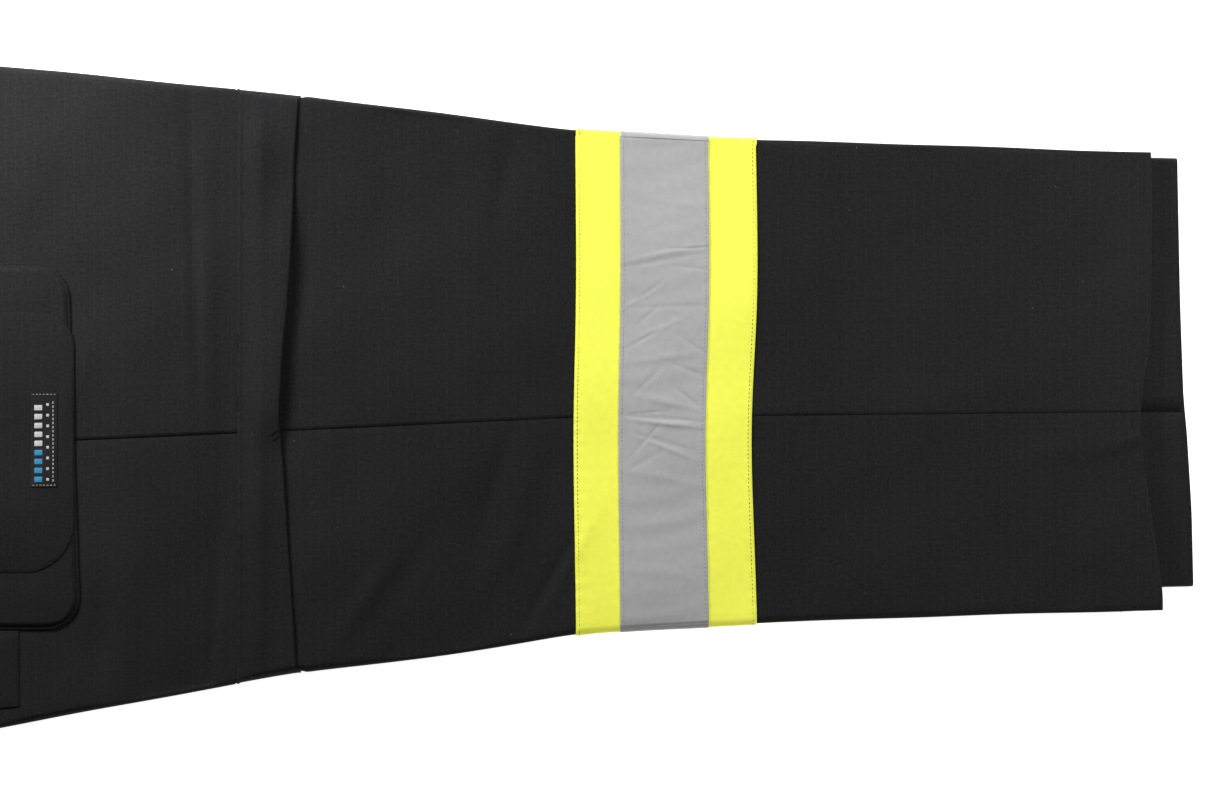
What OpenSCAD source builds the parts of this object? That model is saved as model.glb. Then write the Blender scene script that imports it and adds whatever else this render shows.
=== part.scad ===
// Zip-off cargo work trousers with a two-tone high-visibility band, laid on their side, leg on leg.
// +X runs from the waist to the hems, +Y to the wearer's front, +Z up. The right leg lies on top.

/* [Length] */
// Outseam, from the waist edge to the right hem
outseam_len = 1080; // [1000:10:1180]
// Waist edge to the crotch seam
crotch_at = 280; // [260:5:320]
// Waist edge to the middle of the leg zip
zip_at = 577; // [570:1:620]
// Waist edge to the near edge of the hi-vis band
band_at = 755; // [700:5:800]
// How much further along the left leg lies than the right one
lay_shift = 13; // [0:1:30]
// How far the back corner of a hem lies past its front corner
hem_slant = 7; // [0:1:15]
// Depth of the dip in the right hem at the outseam
hem_dip = 10; // [0:1:15]

/* [Half widths] */
// Outseam side origin to the front fold, at the waist
front_waist = 238; // [225:1:250]
// The same at the thigh
front_thigh = 191; // [180:1:200]
// The same at the storm flap
front_flap = 175; // [165:1:180]
// The same at the near edge of the band
front_band = 155; // [148:1:162]
// The same at the hem
front_hem = 143; // [135:1:150]
// Outseam side origin to the back fold, at the waist
back_waist = 262; // [250:1:275]
// The same at the thigh
back_thigh = 182; // [170:1:190]
// The same at the storm flap
back_flap = 151; // [140:1:160]
// The same at the near edge of the band
back_band = 129; // [120:1:136]
// The same at the hem
back_hem = 116; // [108:1:124]
// Extra fullness of the seat at the back
seat_bulge = 70; // [50:1:80]
// Extra fullness over the stomach at the front
stomach_bulge = 25; // [10:1:35]
// How far the left leg is drawn in at its back fold
left_tuck = 13; // [0:1:16]

/* [Cloth] */
// Thickness that stands for one layer of cloth
wall = 0.8; // [0.6:0.1:1]
// Height of one flattened leg
leg_h = 9; // [9:0.5:12]
// Space between the two legs
leg_gap = 2.6; // [2.6:0.1:4]

/* [Zip-off] */
// Width of the storm flap from its seam to its free edge
flap_w = 36; // [32:1:40]
// Distance from the storm flap's seam to the middle of the zip
flap_root = 13; // [12:1:16]
// Height of the storm flap over the cloth
flap_rise = 2.7; // [2.7:0.1:3.5]
// Width of one zip tape
tape_w = 13; // [10:1:14]
// Where the slider is parked, from the middle of the leg
slider_y = -4; // [-20:1:20]

/* [Hi-vis band] */
// Width of the yellow band
band_w = 102; // [90:1:110]
// Width of the silver tape
silver_w = 50; // [40:1:60]

/* [Cargo pockets] */
// Waist edge to the closed end of the pouch
pouch_end = 476; // [460:1:484]
// Length of the pouch
pouch_len = 210; // [190:5:220]
// Depth of the pouch
pouch_depth = 5; // [5:0.5:8]
// Radius of the pouch's closed corners
pouch_r = 18; // [10:1:24]
// Length of the pocket flap
pocket_flap_len = 81; // [70:1:85]

/* [Waist] */
// Width of the waistband
waistband_w = 38; // [32:1:45]
// Clear height in a belt loop
loop_rise = 4.8; // [4.8:0.1:6]

/* [Hidden] */

RIGHT = 1;                              // the leg on top
LEFT = -1;                              // the leg beneath
stack = 2 * leg_h + leg_gap;            // outer cloth to outer cloth
pocket_step = pouch_depth + 3.6;        // the pocket, its flap and its tapes
flap_step = flap_rise + wall;           // the storm flap over the cloth
thigh_at = 430;                         // distances from the waist edge where the outline turns
knee_at = 600;
slope_a = 490;                          // the cloth comes down from thigh to knee level between these
slope_b = 560;
seat_mid = 150;                         // middle of the seat's fullness
seat_reach = 200;                       // and how far it reaches each way
far = 400;                              // beyond the trousers in any direction
seam_allow = 8;                         // panel edge to the middle of the zip
tooth_w = 3;
tooth_t = 2;
tooth_gap = 1.2;                        // between the two rows, for the slider's wedge
tape_t = 0.6;
tape_depth = wall;                      // outer face of the tape, under the cloth
tooth_depth = tape_depth + tape_t / 2 - tooth_t / 2;
plate_t = 1;
play = 0.3;                             // between pieces that move on each other
over = 2;                               // how far a cut runs past a face
steps = 8;                              // segments in a rounded corner

// Height of the lowest cloth: the pocket lies under it at the thigh, the storm flap at the knee
lie = [[-far, pocket_step], [slope_a, pocket_step], [slope_b, flap_step], [outseam_len + far, flap_step]];

front_line = [[0, front_waist], [thigh_at, front_thigh], [knee_at, front_flap], [band_at, front_band],
    [band_at + band_w, front_band - 5], [outseam_len, front_hem]];
back_line = [[0, back_waist], [thigh_at, back_thigh], [knee_at, back_flap], [band_at, back_band],
    [band_at + band_w, back_band - 6], [outseam_len, back_hem]];
seam_line = [[0, -28], [thigh_at, -22], [566, -16], [band_at, -7], [outseam_len, -4]];

function bell(u) = abs(u - seat_mid) < seat_reach
    ? 0.5 + 0.5 * cos(180 * (u - seat_mid) / seat_reach) : 0;
function drift(u) = min(1, max(0, (u - crotch_at) / (zip_at - crotch_at)));
function front(u, s) = lookup(u, front_line) + stomach_bulge * bell(u) - (s < 0 ? 3 * drift(u) : 0);
function back(u, s) = lookup(u, back_line) + seat_bulge * bell(u) - (s < 0 ? left_tuck * drift(u) : 0);
function along(u, s) = u + (s < 0 ? lay_shift * drift(u) : 0);
function between(a, b) = concat([a],
    [for (u = [20 : 20 : thigh_at - 10]) if (u > a && u < b) u],
    [for (u = [thigh_at, knee_at, band_at, band_at + band_w]) if (u > a && u < b) u], [b]);

all_u = between(0, outseam_len);
y_mid = (max([for (u = all_u) front(u, RIGHT)]) - max([for (u = all_u) back(u, RIGHT)])) / 2;
left_end = outseam_len + lay_shift + hem_slant;
x_mid = left_end / 2;

function seam_y(u) = lookup(u, seam_line);
function px(u, s = RIGHT) = along(u, s) - x_mid;
function py(y) = y - y_mid;
function lie_at(u) = lookup(u, lie);
function base(s) = s > 0 ? leg_h + leg_gap : 0;

// Points of a quarter turn about c, from angle a to angle a + 90
function corner(c, r, a) = [for (k = [0 : steps]) c + r * [cos(a + 90 * k / steps), sin(a + 90 * k / steps)]];

// The points along one fold (f = 1 front, -1 back), drawn in by e
function fold(f, s, us, e) = [for (u = us) [px(u, s), py(f > 0 ? front(u, s) - e : e - back(u, s))]];
function reverse(list) = [for (k = [len(list) - 1 : -1 : 0]) list[k]];

// A panel's outline between two distances from the waist, drawn in by e and run on by ext
function outline(s, a, b, e = 0, ext = 0) = let (
    top = fold(1, s, between(a, b), e), low = fold(-1, s, between(a, b), e), n = len(top) - 1) concat(
    [top[0] - [ext, 0]], top, [top[n] + [ext, 0], low[n] + [ext, 0]], reverse(low), [low[0] - [ext, 0]]);

// The lower leg's outline, with the slanted and dipped hem
function lower_outline(s, a, e = 0, ext = 0) = let (
    top = fold(1, s, between(a, outseam_len), e), low = fold(-1, s, between(a, outseam_len), e),
    n = len(top) - 1) concat(
    [top[0] - [ext, 0]], top,
    [top[n] + [ext, 0],
        [px(outseam_len, s) + hem_slant / 2 - (s > 0 ? hem_dip : 1) + ext, py(seam_y(outseam_len))],
        low[n] + [hem_slant + ext, 0]],
    reverse(low), [low[0] - [ext, 0]]);

// The space between two heights over the lowest cloth, which follows how the trousers lie
module lay(lo, hi) {
    rotate([90, 0, 0]) linear_extrude(height = 2 * far, center = true)
        polygon(concat([for (p = lie) [p[0] - x_mid, p[1] + lo]],
            [for (k = [3 : -1 : 0]) [lie[k][0] - x_mid, lie[k][1] + hi]]));
}

// A flat shape given the two heights
module slab(lo, hi) {
    intersection() {
        translate([0, 0, -far / 2]) linear_extrude(far) children();
        lay(lo, hi);
    }
}

// One leg as a flattened tube, between two depths from its outer face
module leg_tube(s, a, b, d0, d1) {
    difference() {
        slab(base(s) + d0, base(s) + leg_h - d0) polygon(outline(s, a, b, d0));
        slab(base(s) + d1, base(s) + leg_h - d1) polygon(outline(s, a, b, d1, over));
    }
}

// The hip as one flattened tube round both sides
module hip_tube(a, b, d0, d1) {
    difference() {
        slab(d0, stack - d0) polygon(outline(RIGHT, a, b, d0));
        slab(d1, stack - d1) polygon(outline(RIGHT, a, b, d1, over));
    }
}

// Everything on the front (f = 1) or the back (f = -1) of the outseam
module side_of_seam(f, s) {
    us = [for (p = seam_line) p[0]];
    translate([0, 0, -far]) linear_extrude(2 * far) polygon(concat(
        [[-x_mid - far, py(seam_y(0))]], [for (u = us) [px(u, s), py(seam_y(u))]],
        [[x_mid + far, py(seam_y(outseam_len))], [x_mid + far, f * far], [-x_mid - far, f * far]]));
}

// Puts a flat piece on the outer face of one side: z = 0 is the cloth's outer face
module on_thigh(s) {
    if (s > 0) translate([-x_mid, -y_mid, pocket_step + stack]) children();
    else translate([-x_mid, -y_mid, pocket_step]) mirror([0, 0, 1]) children();
}
module on_knee(s) {
    if (s > 0) translate([px(zip_at, s), -y_mid, flap_step + stack]) children();
    else translate([px(zip_at, s), -y_mid, flap_step]) mirror([0, 0, 1]) children();
}
module block(lo, hi) {
    translate(lo) cube(hi - lo);
}

// ---- Upper garment

// One side of the hip
module hip_shell(s) {
    intersection() {
        hip_tube(waistband_w, crotch_at, 0, wall);
        if (s > 0) lay(stack / 2, stack + 1);
        else lay(-1, stack / 2);
    }
}
// Its leg down to the zip, with half of the crotch seam
module thigh_shell(s) {
    half = stack / 2;
    leg_tube(s, crotch_at, zip_at - seam_allow, 0, wall);
    slab(s > 0 ? half : leg_h, s > 0 ? base(s) : half)
        polygon(outline(s, crotch_at, crotch_at + seam_allow));
}
module front_panel(s) {
    color("#2a2a2d") intersection() {
        union() {
            hip_shell(s);
            thigh_shell(s);
        }
        side_of_seam(1, s);
    }
}
module back_panel(s) {
    color("#2a2a2d") intersection() {
        hip_shell(s);
        side_of_seam(-1, s);
    }
}
module back_thigh(s) {
    color("#2a2a2d") intersection() {
        thigh_shell(s);
        side_of_seam(-1, s);
    }
}
module right_front_panel() { front_panel(RIGHT); }
module right_back_panel() { back_panel(RIGHT); }
module right_back_thigh() { back_thigh(RIGHT); }
module left_front_panel() { front_panel(LEFT); }
module left_back_panel() { back_panel(LEFT); }
module left_back_thigh() { back_thigh(LEFT); }

// ---- Waist

module waistband_outer() {
    color("#242426") hip_tube(0, waistband_w, -0.6, 0.2);
}
module waistband_lining() {
    color("#38383b") hip_tube(0, waistband_w, 1.2, 2);
}
// Two elastic strips between the outer band and its lining, behind each side seam
module waist_elastics() {
    color("#111111") intersection() {
        hip_tube(2, waistband_w - 2, 0.2, 1.2);
        block([-x_mid, py(-150), 0], [-x_mid + waistband_w, py(-40), 2 * far]);
    }
}
// The end of the left waistband, lapped over the right one at the centre front
module waist_tab() {
    color("#242426") on_thigh(RIGHT) difference() {
        linear_extrude(1.4) polygon(concat([[1, 232], [1, 180]],
            corner([7, 180], 6, 180), corner([31, 180], 6, 270), [[waistband_w - 1, 232]]));
        translate([19, 194, -1]) cylinder(h = 4, r = 2.5, $fn = 48);
        translate([-1, 170, -1]) cube([waistband_w + 2, far, 1.6]);
    }
}
// Shank button: post, rim and domed cap
module waist_button() {
    color("#8d8f91") on_thigh(RIGHT) translate([19, 194, 0.6]) {
        cylinder(h = 1.4, r = 2.2, $fn = 48);
        translate([0, 0, 1]) rotate_extrude($fn = 48)
            polygon([[0, 0], [7.6, 0], [8.5, 0.6], [8.5, 1.2], [7.4, 1.8], [4, 2.1], [0, 2.2]]);
    }
}
module belt_loop() {
    foot = waistband_w + 8;
    block([2, -6, 0.6], [8, 6, loop_rise + 0.6]);
    block([foot - 6, -6, 0], [foot, 6, loop_rise + 0.6]);
    block([2, -6, loop_rise + 0.6], [foot, 6, loop_rise + 1.6]);
}
// Three loops on each side and one beside the centre back
module belt_loops() {
    color("#242426") {
        for (y = [150, -28, -150, -245]) on_thigh(RIGHT) translate([0, y, 0]) belt_loop();
        for (y = [150, -28, -190]) on_thigh(LEFT) translate([0, y, 0]) belt_loop();
    }
}
module care_label() {
    color("#e8e8e6") on_thigh(RIGHT) block([4, -225, -2.4], [34, -185, -2]);
}

// ---- Fly, inside the centre front

fly_a = 50;             // distances from the waist edge
fly_b = 190;
fly_y = 236;            // the fly zip runs straight, just inside the front edge
fly_z = pocket_step + stack / 2;
module fly_ply(z) {
    linear_extrude(wall) polygon(concat([[waistband_w + 2, 231], [waistband_w + 2, 195]],
        [for (k = [0 : steps]) [fly_b + 12 * sin(90 * k / steps), 231 - 36 * cos(90 * k / steps)]]));
}
module fly_facing() {
    color("#2f2f32") translate([-x_mid, -y_mid, pocket_step + wall]) fly_ply();
}
module fly_shield() {
    color("#2f2f32") translate([-x_mid, -y_mid, pocket_step + stack - 2 * wall]) fly_ply();
}
module fly_zip_tapes() {
    color("#1c1c1e") for (t = [-1, 1]) {
        edge = tooth_gap / 2 + tooth_w;
        lo = t < 0 ? pocket_step + 2 * wall - fly_z : edge;
        hi = t < 0 ? -edge : pocket_step + stack - 2 * wall - fly_z;
        translate([-x_mid, -y_mid, fly_z])
            block([fly_a, fly_y - 0.3, lo], [fly_b, fly_y + 0.3, hi]);
        translate([-x_mid, -y_mid, fly_z]) block([fly_a, 222, t < 0 ? lo : hi - 0.6],
            [fly_b, fly_y - 0.3, t < 0 ? lo + 0.6 : hi]);
    }
}
module fly_zip_teeth() {
    color("#9a8a5c") translate([-x_mid, py(fly_y), fly_z]) for (t = [-1, 1])
        block([fly_a, -1, t > 0 ? tooth_gap / 2 : -tooth_gap / 2 - tooth_w],
            [fly_b, 1, t > 0 ? tooth_gap / 2 + tooth_w : -tooth_gap / 2]);
}
// A zip slider: two plates and the wedge between the rows; the zip runs along x, its face is z
module slider_body() {
    for (z = [-1 - play - plate_t, 1 + play]) translate([0, 0, z]) linear_extrude(plate_t)
        polygon([[-5, -3.5], [3, -5], [5.5, -4], [5.5, 4], [3, 5], [-5, 3.5]]);
    block([-1, -0.3, -1 - play], [4, 0.3, 1 + play]);
}
// The pull: a flat tongue with an eye, lying on the slider's outer plate
module slider_pull() {
    z = 1 + play + plate_t;
    translate([0, 0, z]) linear_extrude(1) difference() {
        polygon(concat([[-17, -2.6], [-1, -3.4]], corner([1, 0], 3.4, 270), corner([1, 0], 3.4, 0),
            [[-17, 2.6]]));
        circle(r = 1.6, $fn = 24);
    }
}
// The fly's slider and its pull, joined where the pull lies on the plate
module fly_slider() {
    color("#9a8a5c") translate([-x_mid + fly_a + 8, py(fly_y), fly_z]) rotate([-90, 0, 0]) {
        slider_body();
        mirror([1, 0, 0]) slider_pull();
    }
}

// ---- Pockets on the hip

module pocket_bag(s) {
    color("#1a1a1c") on_thigh(s) translate([0, 0, -wall - 1.6]) linear_extrude(1.6)
        polygon(concat([[70, 30], [330 - 40, 30]],
            [for (k = [0 : steps]) [290 + 40 * sin(90 * k / steps), 70 - 40 * cos(90 * k / steps)]],
            [[330, 110]], [[300, 180], [70, 180]]));
}
module right_pocket_bag() { pocket_bag(RIGHT); }
module left_pocket_bag() { pocket_bag(LEFT); }
module back_pocket(s) {
    color("#242426") on_thigh(s) linear_extrude(0.9)
        polygon([[78, -105], [212, -105], [228, -180], [212, -255], [78, -255]]);
}
module right_back_pocket() { back_pocket(RIGHT); }
module left_back_pocket() { back_pocket(LEFT); }
// Long narrow pocket for a folding rule, on the back of the right thigh
module rule_pocket() {
    color("#242426") on_thigh(RIGHT) linear_extrude(1.2)
        polygon([[262, -132], [442, -126.5], [442, -170], [262, -188]]);
}

// ---- Cargo pockets

pouch_front = 79;
pouch_back = -126;
pouch_a = pouch_end - pouch_len;
lean = 6;                       // the closed end runs this much further at the back
function pouch_outline(e) = let (r = pouch_r - e, b = pouch_end) concat(
    [[pouch_a, pouch_back + e]], corner([b - pouch_r, pouch_back + pouch_r], r, 270),
    corner([b - lean - pouch_r, pouch_front - pouch_r], r, 0), [[pouch_a, pouch_front - e]]);
module cargo_bellows(s) {
    color("#202022") on_thigh(s) linear_extrude(pouch_depth) difference() {
        polygon(pouch_outline(0));
        polygon(pouch_outline(1.2));
        translate([pouch_a - 1, pouch_back + 1.2]) square([3, pouch_front - pouch_back - 2.4]);
    }
}
module cargo_pouch(s) {
    color("#262628") on_thigh(s) translate([0, 0, pouch_depth]) linear_extrude(1)
        polygon(pouch_outline(0));
}
// Flat patch pocket on the pouch, entered from its front edge
module phone_pocket(s) {
    color("#2b2b2e") on_thigh(s) translate([0, 0, pouch_depth + 1]) linear_extrude(0.8)
        polygon(concat([[322, -94]], [for (k = [0 : steps])
            [474 - 14 * (1 - sin(90 * k / steps)), -94 + 24 * (1 - cos(90 * k / steps))]],
            corner([450, 30], 22, 0), [[322, 52]]));
}
module loop_tape(s) {
    color("#18181a") on_thigh(s) translate([0, 0, pouch_depth + 1]) linear_extrude(0.6)
        polygon([[276, -74], [301, -74], [301, 27], [276, 27]]);
}
module cargo_flap(s) {
    top = pocket_step - 1;
    color("#2a2a2d") on_thigh(s) {
        block([238.5, pouch_back - 5, 0.5], [239.5, pouch_front + 5, top]);
        translate([0, 0, top]) linear_extrude(1) polygon([[238.5, pouch_back - 5],
            [230 + pocket_flap_len, pouch_back - 5], [238.5 + pocket_flap_len, pouch_back + 4],
            [238.5 + pocket_flap_len, pouch_front - 4], [230 + pocket_flap_len, pouch_front + 5],
            [238.5, pouch_front + 5]]);
    }
}
module hook_tape(s) {
    color("#18181a") on_thigh(s) translate([0, 0, pocket_step - 1.6]) linear_extrude(0.6)
        polygon([[276, -74], [301, -74], [301, 27], [276, 27]]);
}
module right_cargo_bellows() { cargo_bellows(RIGHT); }
module right_cargo_pouch() { cargo_pouch(RIGHT); }
module right_phone_pocket() { phone_pocket(RIGHT); }
module right_loop_tape() { loop_tape(RIGHT); }
module right_cargo_flap() { cargo_flap(RIGHT); }
module right_hook_tape() { hook_tape(RIGHT); }
module left_cargo_bellows() { cargo_bellows(LEFT); }
module left_cargo_pouch() { cargo_pouch(LEFT); }
module left_phone_pocket() { phone_pocket(LEFT); }
module left_loop_tape() { loop_tape(LEFT); }
module left_cargo_flap() { cargo_flap(LEFT); }
module left_hook_tape() { hook_tape(LEFT); }
module woven_label() {
    color("#101012") on_thigh(RIGHT) translate([0, 0, pouch_depth + 1.8])
        block([449, -46, 0], [464, 7, 0.4]);
}

// ---- Zip-off

// The storm flap where it passes round the folds and between the legs
module flap_wrap(s) {
    color("#2a2a2d") intersection() {
        leg_tube(s, zip_at - flap_root, zip_at - flap_root + flap_w, -play - wall, -play);
        lay(0, stack);
    }
}
// The storm flap on the outer side, with its turned root
module storm_flap(s) {
    u0 = -flap_root;
    color("#2a2a2d") on_knee(s) {
        block([u0 - 0.5, -back(zip_at, s) + 1, play], [u0 + 0.5, front(zip_at, s) - 1, flap_rise]);
        translate([0, 0, flap_rise]) linear_extrude(wall) polygon([
            [u0 - 0.5, -back(zip_at, s) + 1], [u0 + flap_w, -back(zip_at, s) + 3],
            [u0 + flap_w - 6, 0], [u0 + flap_w, front(zip_at, s) - 3], [u0 - 0.5, front(zip_at, s) - 1]]);
    }
}
module upper_tape(s) {
    gap = tooth_gap / 2 + tooth_w;
    color("#1c1c1e") leg_tube(s, zip_at - gap - tape_w, zip_at - gap, tape_depth, tape_depth + tape_t);
}
module lower_tape(s) {
    gap = tooth_gap / 2 + tooth_w;
    color("#1c1c1e") leg_tube(s, zip_at + gap, zip_at + gap + tape_w, tape_depth, tape_depth + tape_t);
}
module teeth(s, f) {
    a = f < 0 ? zip_at - tooth_gap / 2 - tooth_w : zip_at + tooth_gap / 2;
    color("#2e2e30") leg_tube(s, a, a + tooth_w, tooth_depth, tooth_depth + tooth_t);
}
module zip_slider(s) {
    color("#5a5b5e") on_knee(s) translate([0, slider_y, -tooth_depth - tooth_t / 2])
        rotate([0, 0, 90]) slider_body();
}
module zip_pull(s) {
    color("#5a5b5e") on_knee(s) translate([0, slider_y, -tooth_depth - tooth_t / 2])
        rotate([0, 0, 90]) slider_pull();
}
module right_flap_wrap() { flap_wrap(RIGHT); }
module right_storm_flap() { storm_flap(RIGHT); }
module right_upper_tape() { upper_tape(RIGHT); }
module right_upper_teeth() { teeth(RIGHT, -1); }
module right_zip_slider() { zip_slider(RIGHT); }
module right_zip_pull() { zip_pull(RIGHT); }
module left_flap_wrap() { flap_wrap(LEFT); }
module left_storm_flap() { storm_flap(LEFT); }
module left_upper_tape() { upper_tape(LEFT); }
module left_upper_teeth() { teeth(LEFT, -1); }
module left_zip_slider() { zip_slider(LEFT); }
module left_zip_pull() { zip_pull(LEFT); }

// ---- Lower legs

module lower_panel(s, f) {
    color("#27272a") intersection() {
        difference() {
            slab(base(s), base(s) + leg_h) polygon(lower_outline(s, zip_at + seam_allow));
            slab(base(s) + wall, base(s) + leg_h - wall)
                polygon(lower_outline(s, zip_at + seam_allow, wall, over));
        }
        side_of_seam(f, s);
    }
}
module hivis_band(s) {
    color("#eefa4a") leg_tube(s, band_at, band_at + band_w, -0.5, 0);
}
module silver_tape(s) {
    a = band_at + 25;
    color("#a9aaac") leg_tube(s, a, a + silver_w, -0.9, -0.5);
}
module right_lower_front() { lower_panel(RIGHT, 1); }
module right_lower_back() { lower_panel(RIGHT, -1); }
module right_hivis_band() { hivis_band(RIGHT); }
module right_silver_tape() { silver_tape(RIGHT); }
module right_lower_tape() { lower_tape(RIGHT); }
module right_lower_teeth() { teeth(RIGHT, 1); }
module left_lower_front() { lower_panel(LEFT, 1); }
module left_lower_back() { lower_panel(LEFT, -1); }
module left_hivis_band() { hivis_band(LEFT); }
module left_silver_tape() { silver_tape(LEFT); }
module left_lower_tape() { lower_tape(LEFT); }
module left_lower_teeth() { teeth(LEFT, 1); }

right_front_panel();
right_back_panel();
right_back_thigh();
left_front_panel();
left_back_panel();
left_back_thigh();
waistband_outer();
waistband_lining();
waist_elastics();
waist_tab();
waist_button();
belt_loops();
care_label();
fly_facing();
fly_shield();
fly_zip_tapes();
fly_zip_teeth();
fly_slider();
right_pocket_bag();
left_pocket_bag();
right_back_pocket();
left_back_pocket();
rule_pocket();
right_cargo_bellows();
right_cargo_pouch();
right_phone_pocket();
right_loop_tape();
right_cargo_flap();
right_hook_tape();
woven_label();
left_cargo_bellows();
left_cargo_pouch();
left_phone_pocket();
left_loop_tape();
left_cargo_flap();
left_hook_tape();
right_flap_wrap();
right_storm_flap();
right_upper_tape();
right_upper_teeth();
right_zip_slider();
right_zip_pull();
left_flap_wrap();
left_storm_flap();
left_upper_tape();
left_upper_teeth();
left_zip_slider();
left_zip_pull();
right_lower_front();
right_lower_back();
right_hivis_band();
right_silver_tape();
right_lower_tape();
right_lower_teeth();
left_lower_front();
left_lower_back();
left_hivis_band();
left_silver_tape();
left_lower_tape();
left_lower_teeth();
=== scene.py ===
import bpy
import numpy as np
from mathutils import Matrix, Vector


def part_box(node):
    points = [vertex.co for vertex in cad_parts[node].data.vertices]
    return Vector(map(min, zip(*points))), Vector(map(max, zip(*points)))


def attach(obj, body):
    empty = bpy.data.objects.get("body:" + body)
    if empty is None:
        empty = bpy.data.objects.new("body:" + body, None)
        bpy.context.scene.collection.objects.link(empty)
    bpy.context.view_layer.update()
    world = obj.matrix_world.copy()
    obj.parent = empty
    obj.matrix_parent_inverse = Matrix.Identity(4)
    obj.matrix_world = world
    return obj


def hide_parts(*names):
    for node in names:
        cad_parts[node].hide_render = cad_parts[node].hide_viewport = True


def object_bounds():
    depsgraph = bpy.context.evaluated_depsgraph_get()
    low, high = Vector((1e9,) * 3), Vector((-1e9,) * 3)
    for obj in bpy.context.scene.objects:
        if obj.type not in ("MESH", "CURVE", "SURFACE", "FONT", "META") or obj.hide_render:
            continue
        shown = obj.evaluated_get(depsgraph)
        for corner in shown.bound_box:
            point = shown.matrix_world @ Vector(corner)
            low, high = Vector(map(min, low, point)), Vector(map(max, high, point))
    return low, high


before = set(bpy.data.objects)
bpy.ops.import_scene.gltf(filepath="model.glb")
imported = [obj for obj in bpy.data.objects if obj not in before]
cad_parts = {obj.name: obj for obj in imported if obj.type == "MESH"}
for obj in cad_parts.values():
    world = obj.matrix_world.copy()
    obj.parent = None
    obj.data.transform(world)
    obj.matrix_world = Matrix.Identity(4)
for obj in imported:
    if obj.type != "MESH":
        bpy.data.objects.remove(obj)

# Zip-off work trousers laid on their side, leg on leg. Metres; +X to the hems, +Y to the front.
cadLow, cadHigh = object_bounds()
mm = 0.001


# reading the frame

def nodePoints(*names):
    # the corner points of some CAD nodes, as one array
    return np.concatenate([np.array([v.co[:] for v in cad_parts[n].data.vertices]) for n in names])


def farthest(points, key, value, keep):
    # for each distinct x, the largest value among the points kept, as two arrays for interpolation
    points = points[keep(points)]
    xs, which = np.unique(np.round(points[:, key], 4), return_inverse=True)
    best = np.full(len(xs), -1e9)
    np.maximum.at(best, which.ravel(), value(points))
    return xs, best


def smoothStep(t):
    # 3t^2 - 2t^3, held between 0 and 1
    t = np.clip(t, 0, 1)
    return t * t * (3 - 2 * t)


def softened(xs, ys, reach):
    # the broken line through the points, averaged over a short reach so its corners are eased
    fine = np.arange(xs[0], xs[-1] + mm, mm)
    line = np.interp(fine, xs, ys)
    n = int(reach / mm) | 1
    padded = np.pad(line, n // 2, mode="reflect", reflect_type="odd")
    return fine, np.convolve(padded, np.ones(n) / n, mode="valid")


def legOutline(side):
    # the front and back edge of a leg in the plan, from the farthest points of its panels
    front = nodePoints(side + "_front_panel", side + "_lower_front")
    back = nodePoints(side + "_back_panel", side + "_back_thigh", side + "_lower_back")
    f = farthest(front, 0, lambda p: p[:, 1], lambda p: p[:, 1] > 0.09)
    b = farthest(back, 0, lambda p: -p[:, 1], lambda p: p[:, 1] < -0.05)
    return {"front": softened(*f, 30 * mm), "back": softened(*b, 30 * mm)}


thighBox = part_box("right_cargo_pouch")
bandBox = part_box("right_hivis_band")
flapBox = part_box("right_storm_flap")
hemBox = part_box("right_lower_front")
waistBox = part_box("waistband_outer")
xWaist = waistBox[0].x
xWaistSeam = waistBox[1].x
xCrotch = xWaist + 280 * mm
xFlap = flapBox[0].x + 0.5 * mm
xHem = hemBox[1].x
seamX = np.array([xWaist, xWaist + 430 * mm, xFlap, bandBox[0].x, xHem])
yMiddle = thighBox[1].y - 79 * mm
seamY = np.array([-28, -22, -16, -7, -4]) * mm + yMiddle


def at(u):
    # a distance from the waist edge in mm, as x
    return xWaist + np.asarray(u, float) * mm


def across(v):
    # a distance in front of the leg's middle line in mm, as y
    return yMiddle + np.asarray(v, float) * mm


def ySeam(x):
    # the outseam in the plan: straight between a few stations
    return np.interp(x, seamX, seamY)


# heights of the cloth: the outer face of the leg, and its face against the other leg
thighTop = thighBox[0].z - 5 * mm
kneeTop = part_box("right_lower_front")[1].z
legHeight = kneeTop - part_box("right_lower_front")[0].z
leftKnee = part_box("left_lower_front")[0].z
leftThigh = thighTop - (kneeTop - leftKnee)
xSlope = [xWaist + 490 * mm, xWaist + 560 * mm]
hipMiddle = (thighTop + leftThigh) / 2

legs = {
    "right": {"body": "right_lower_leg", "sign": 1, "outer": (thighTop, kneeTop), "settle": 2.6 * mm,
              "thin": 3.2 * mm, "rough": 1.0, "shift": 0.0, "seed": 3},
    "left": {"body": "left_lower_leg", "sign": -1, "outer": (leftThigh, leftKnee), "settle": 0.7 * mm,
             "thin": 0.0, "rough": 0.45, "shift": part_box("left_lower_front")[1].x - hemBox[1].x, "seed": 8},
}
for name, leg in legs.items():
    leg.update(legOutline(name))
    leg["name"] = name


# the shape of the cloth


# broad, shallow waves in the cloth: height in mm, wavelength in mm along and across, turn in degrees
waves = [(0.55, 210, 14, 0.3), (0.4, 130, 64, 1.9), (0.3, 82, -38, 4.1), (0.2, 55, 28, 2.6),
         (0.14, 37, 81, 0.7)]

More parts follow.
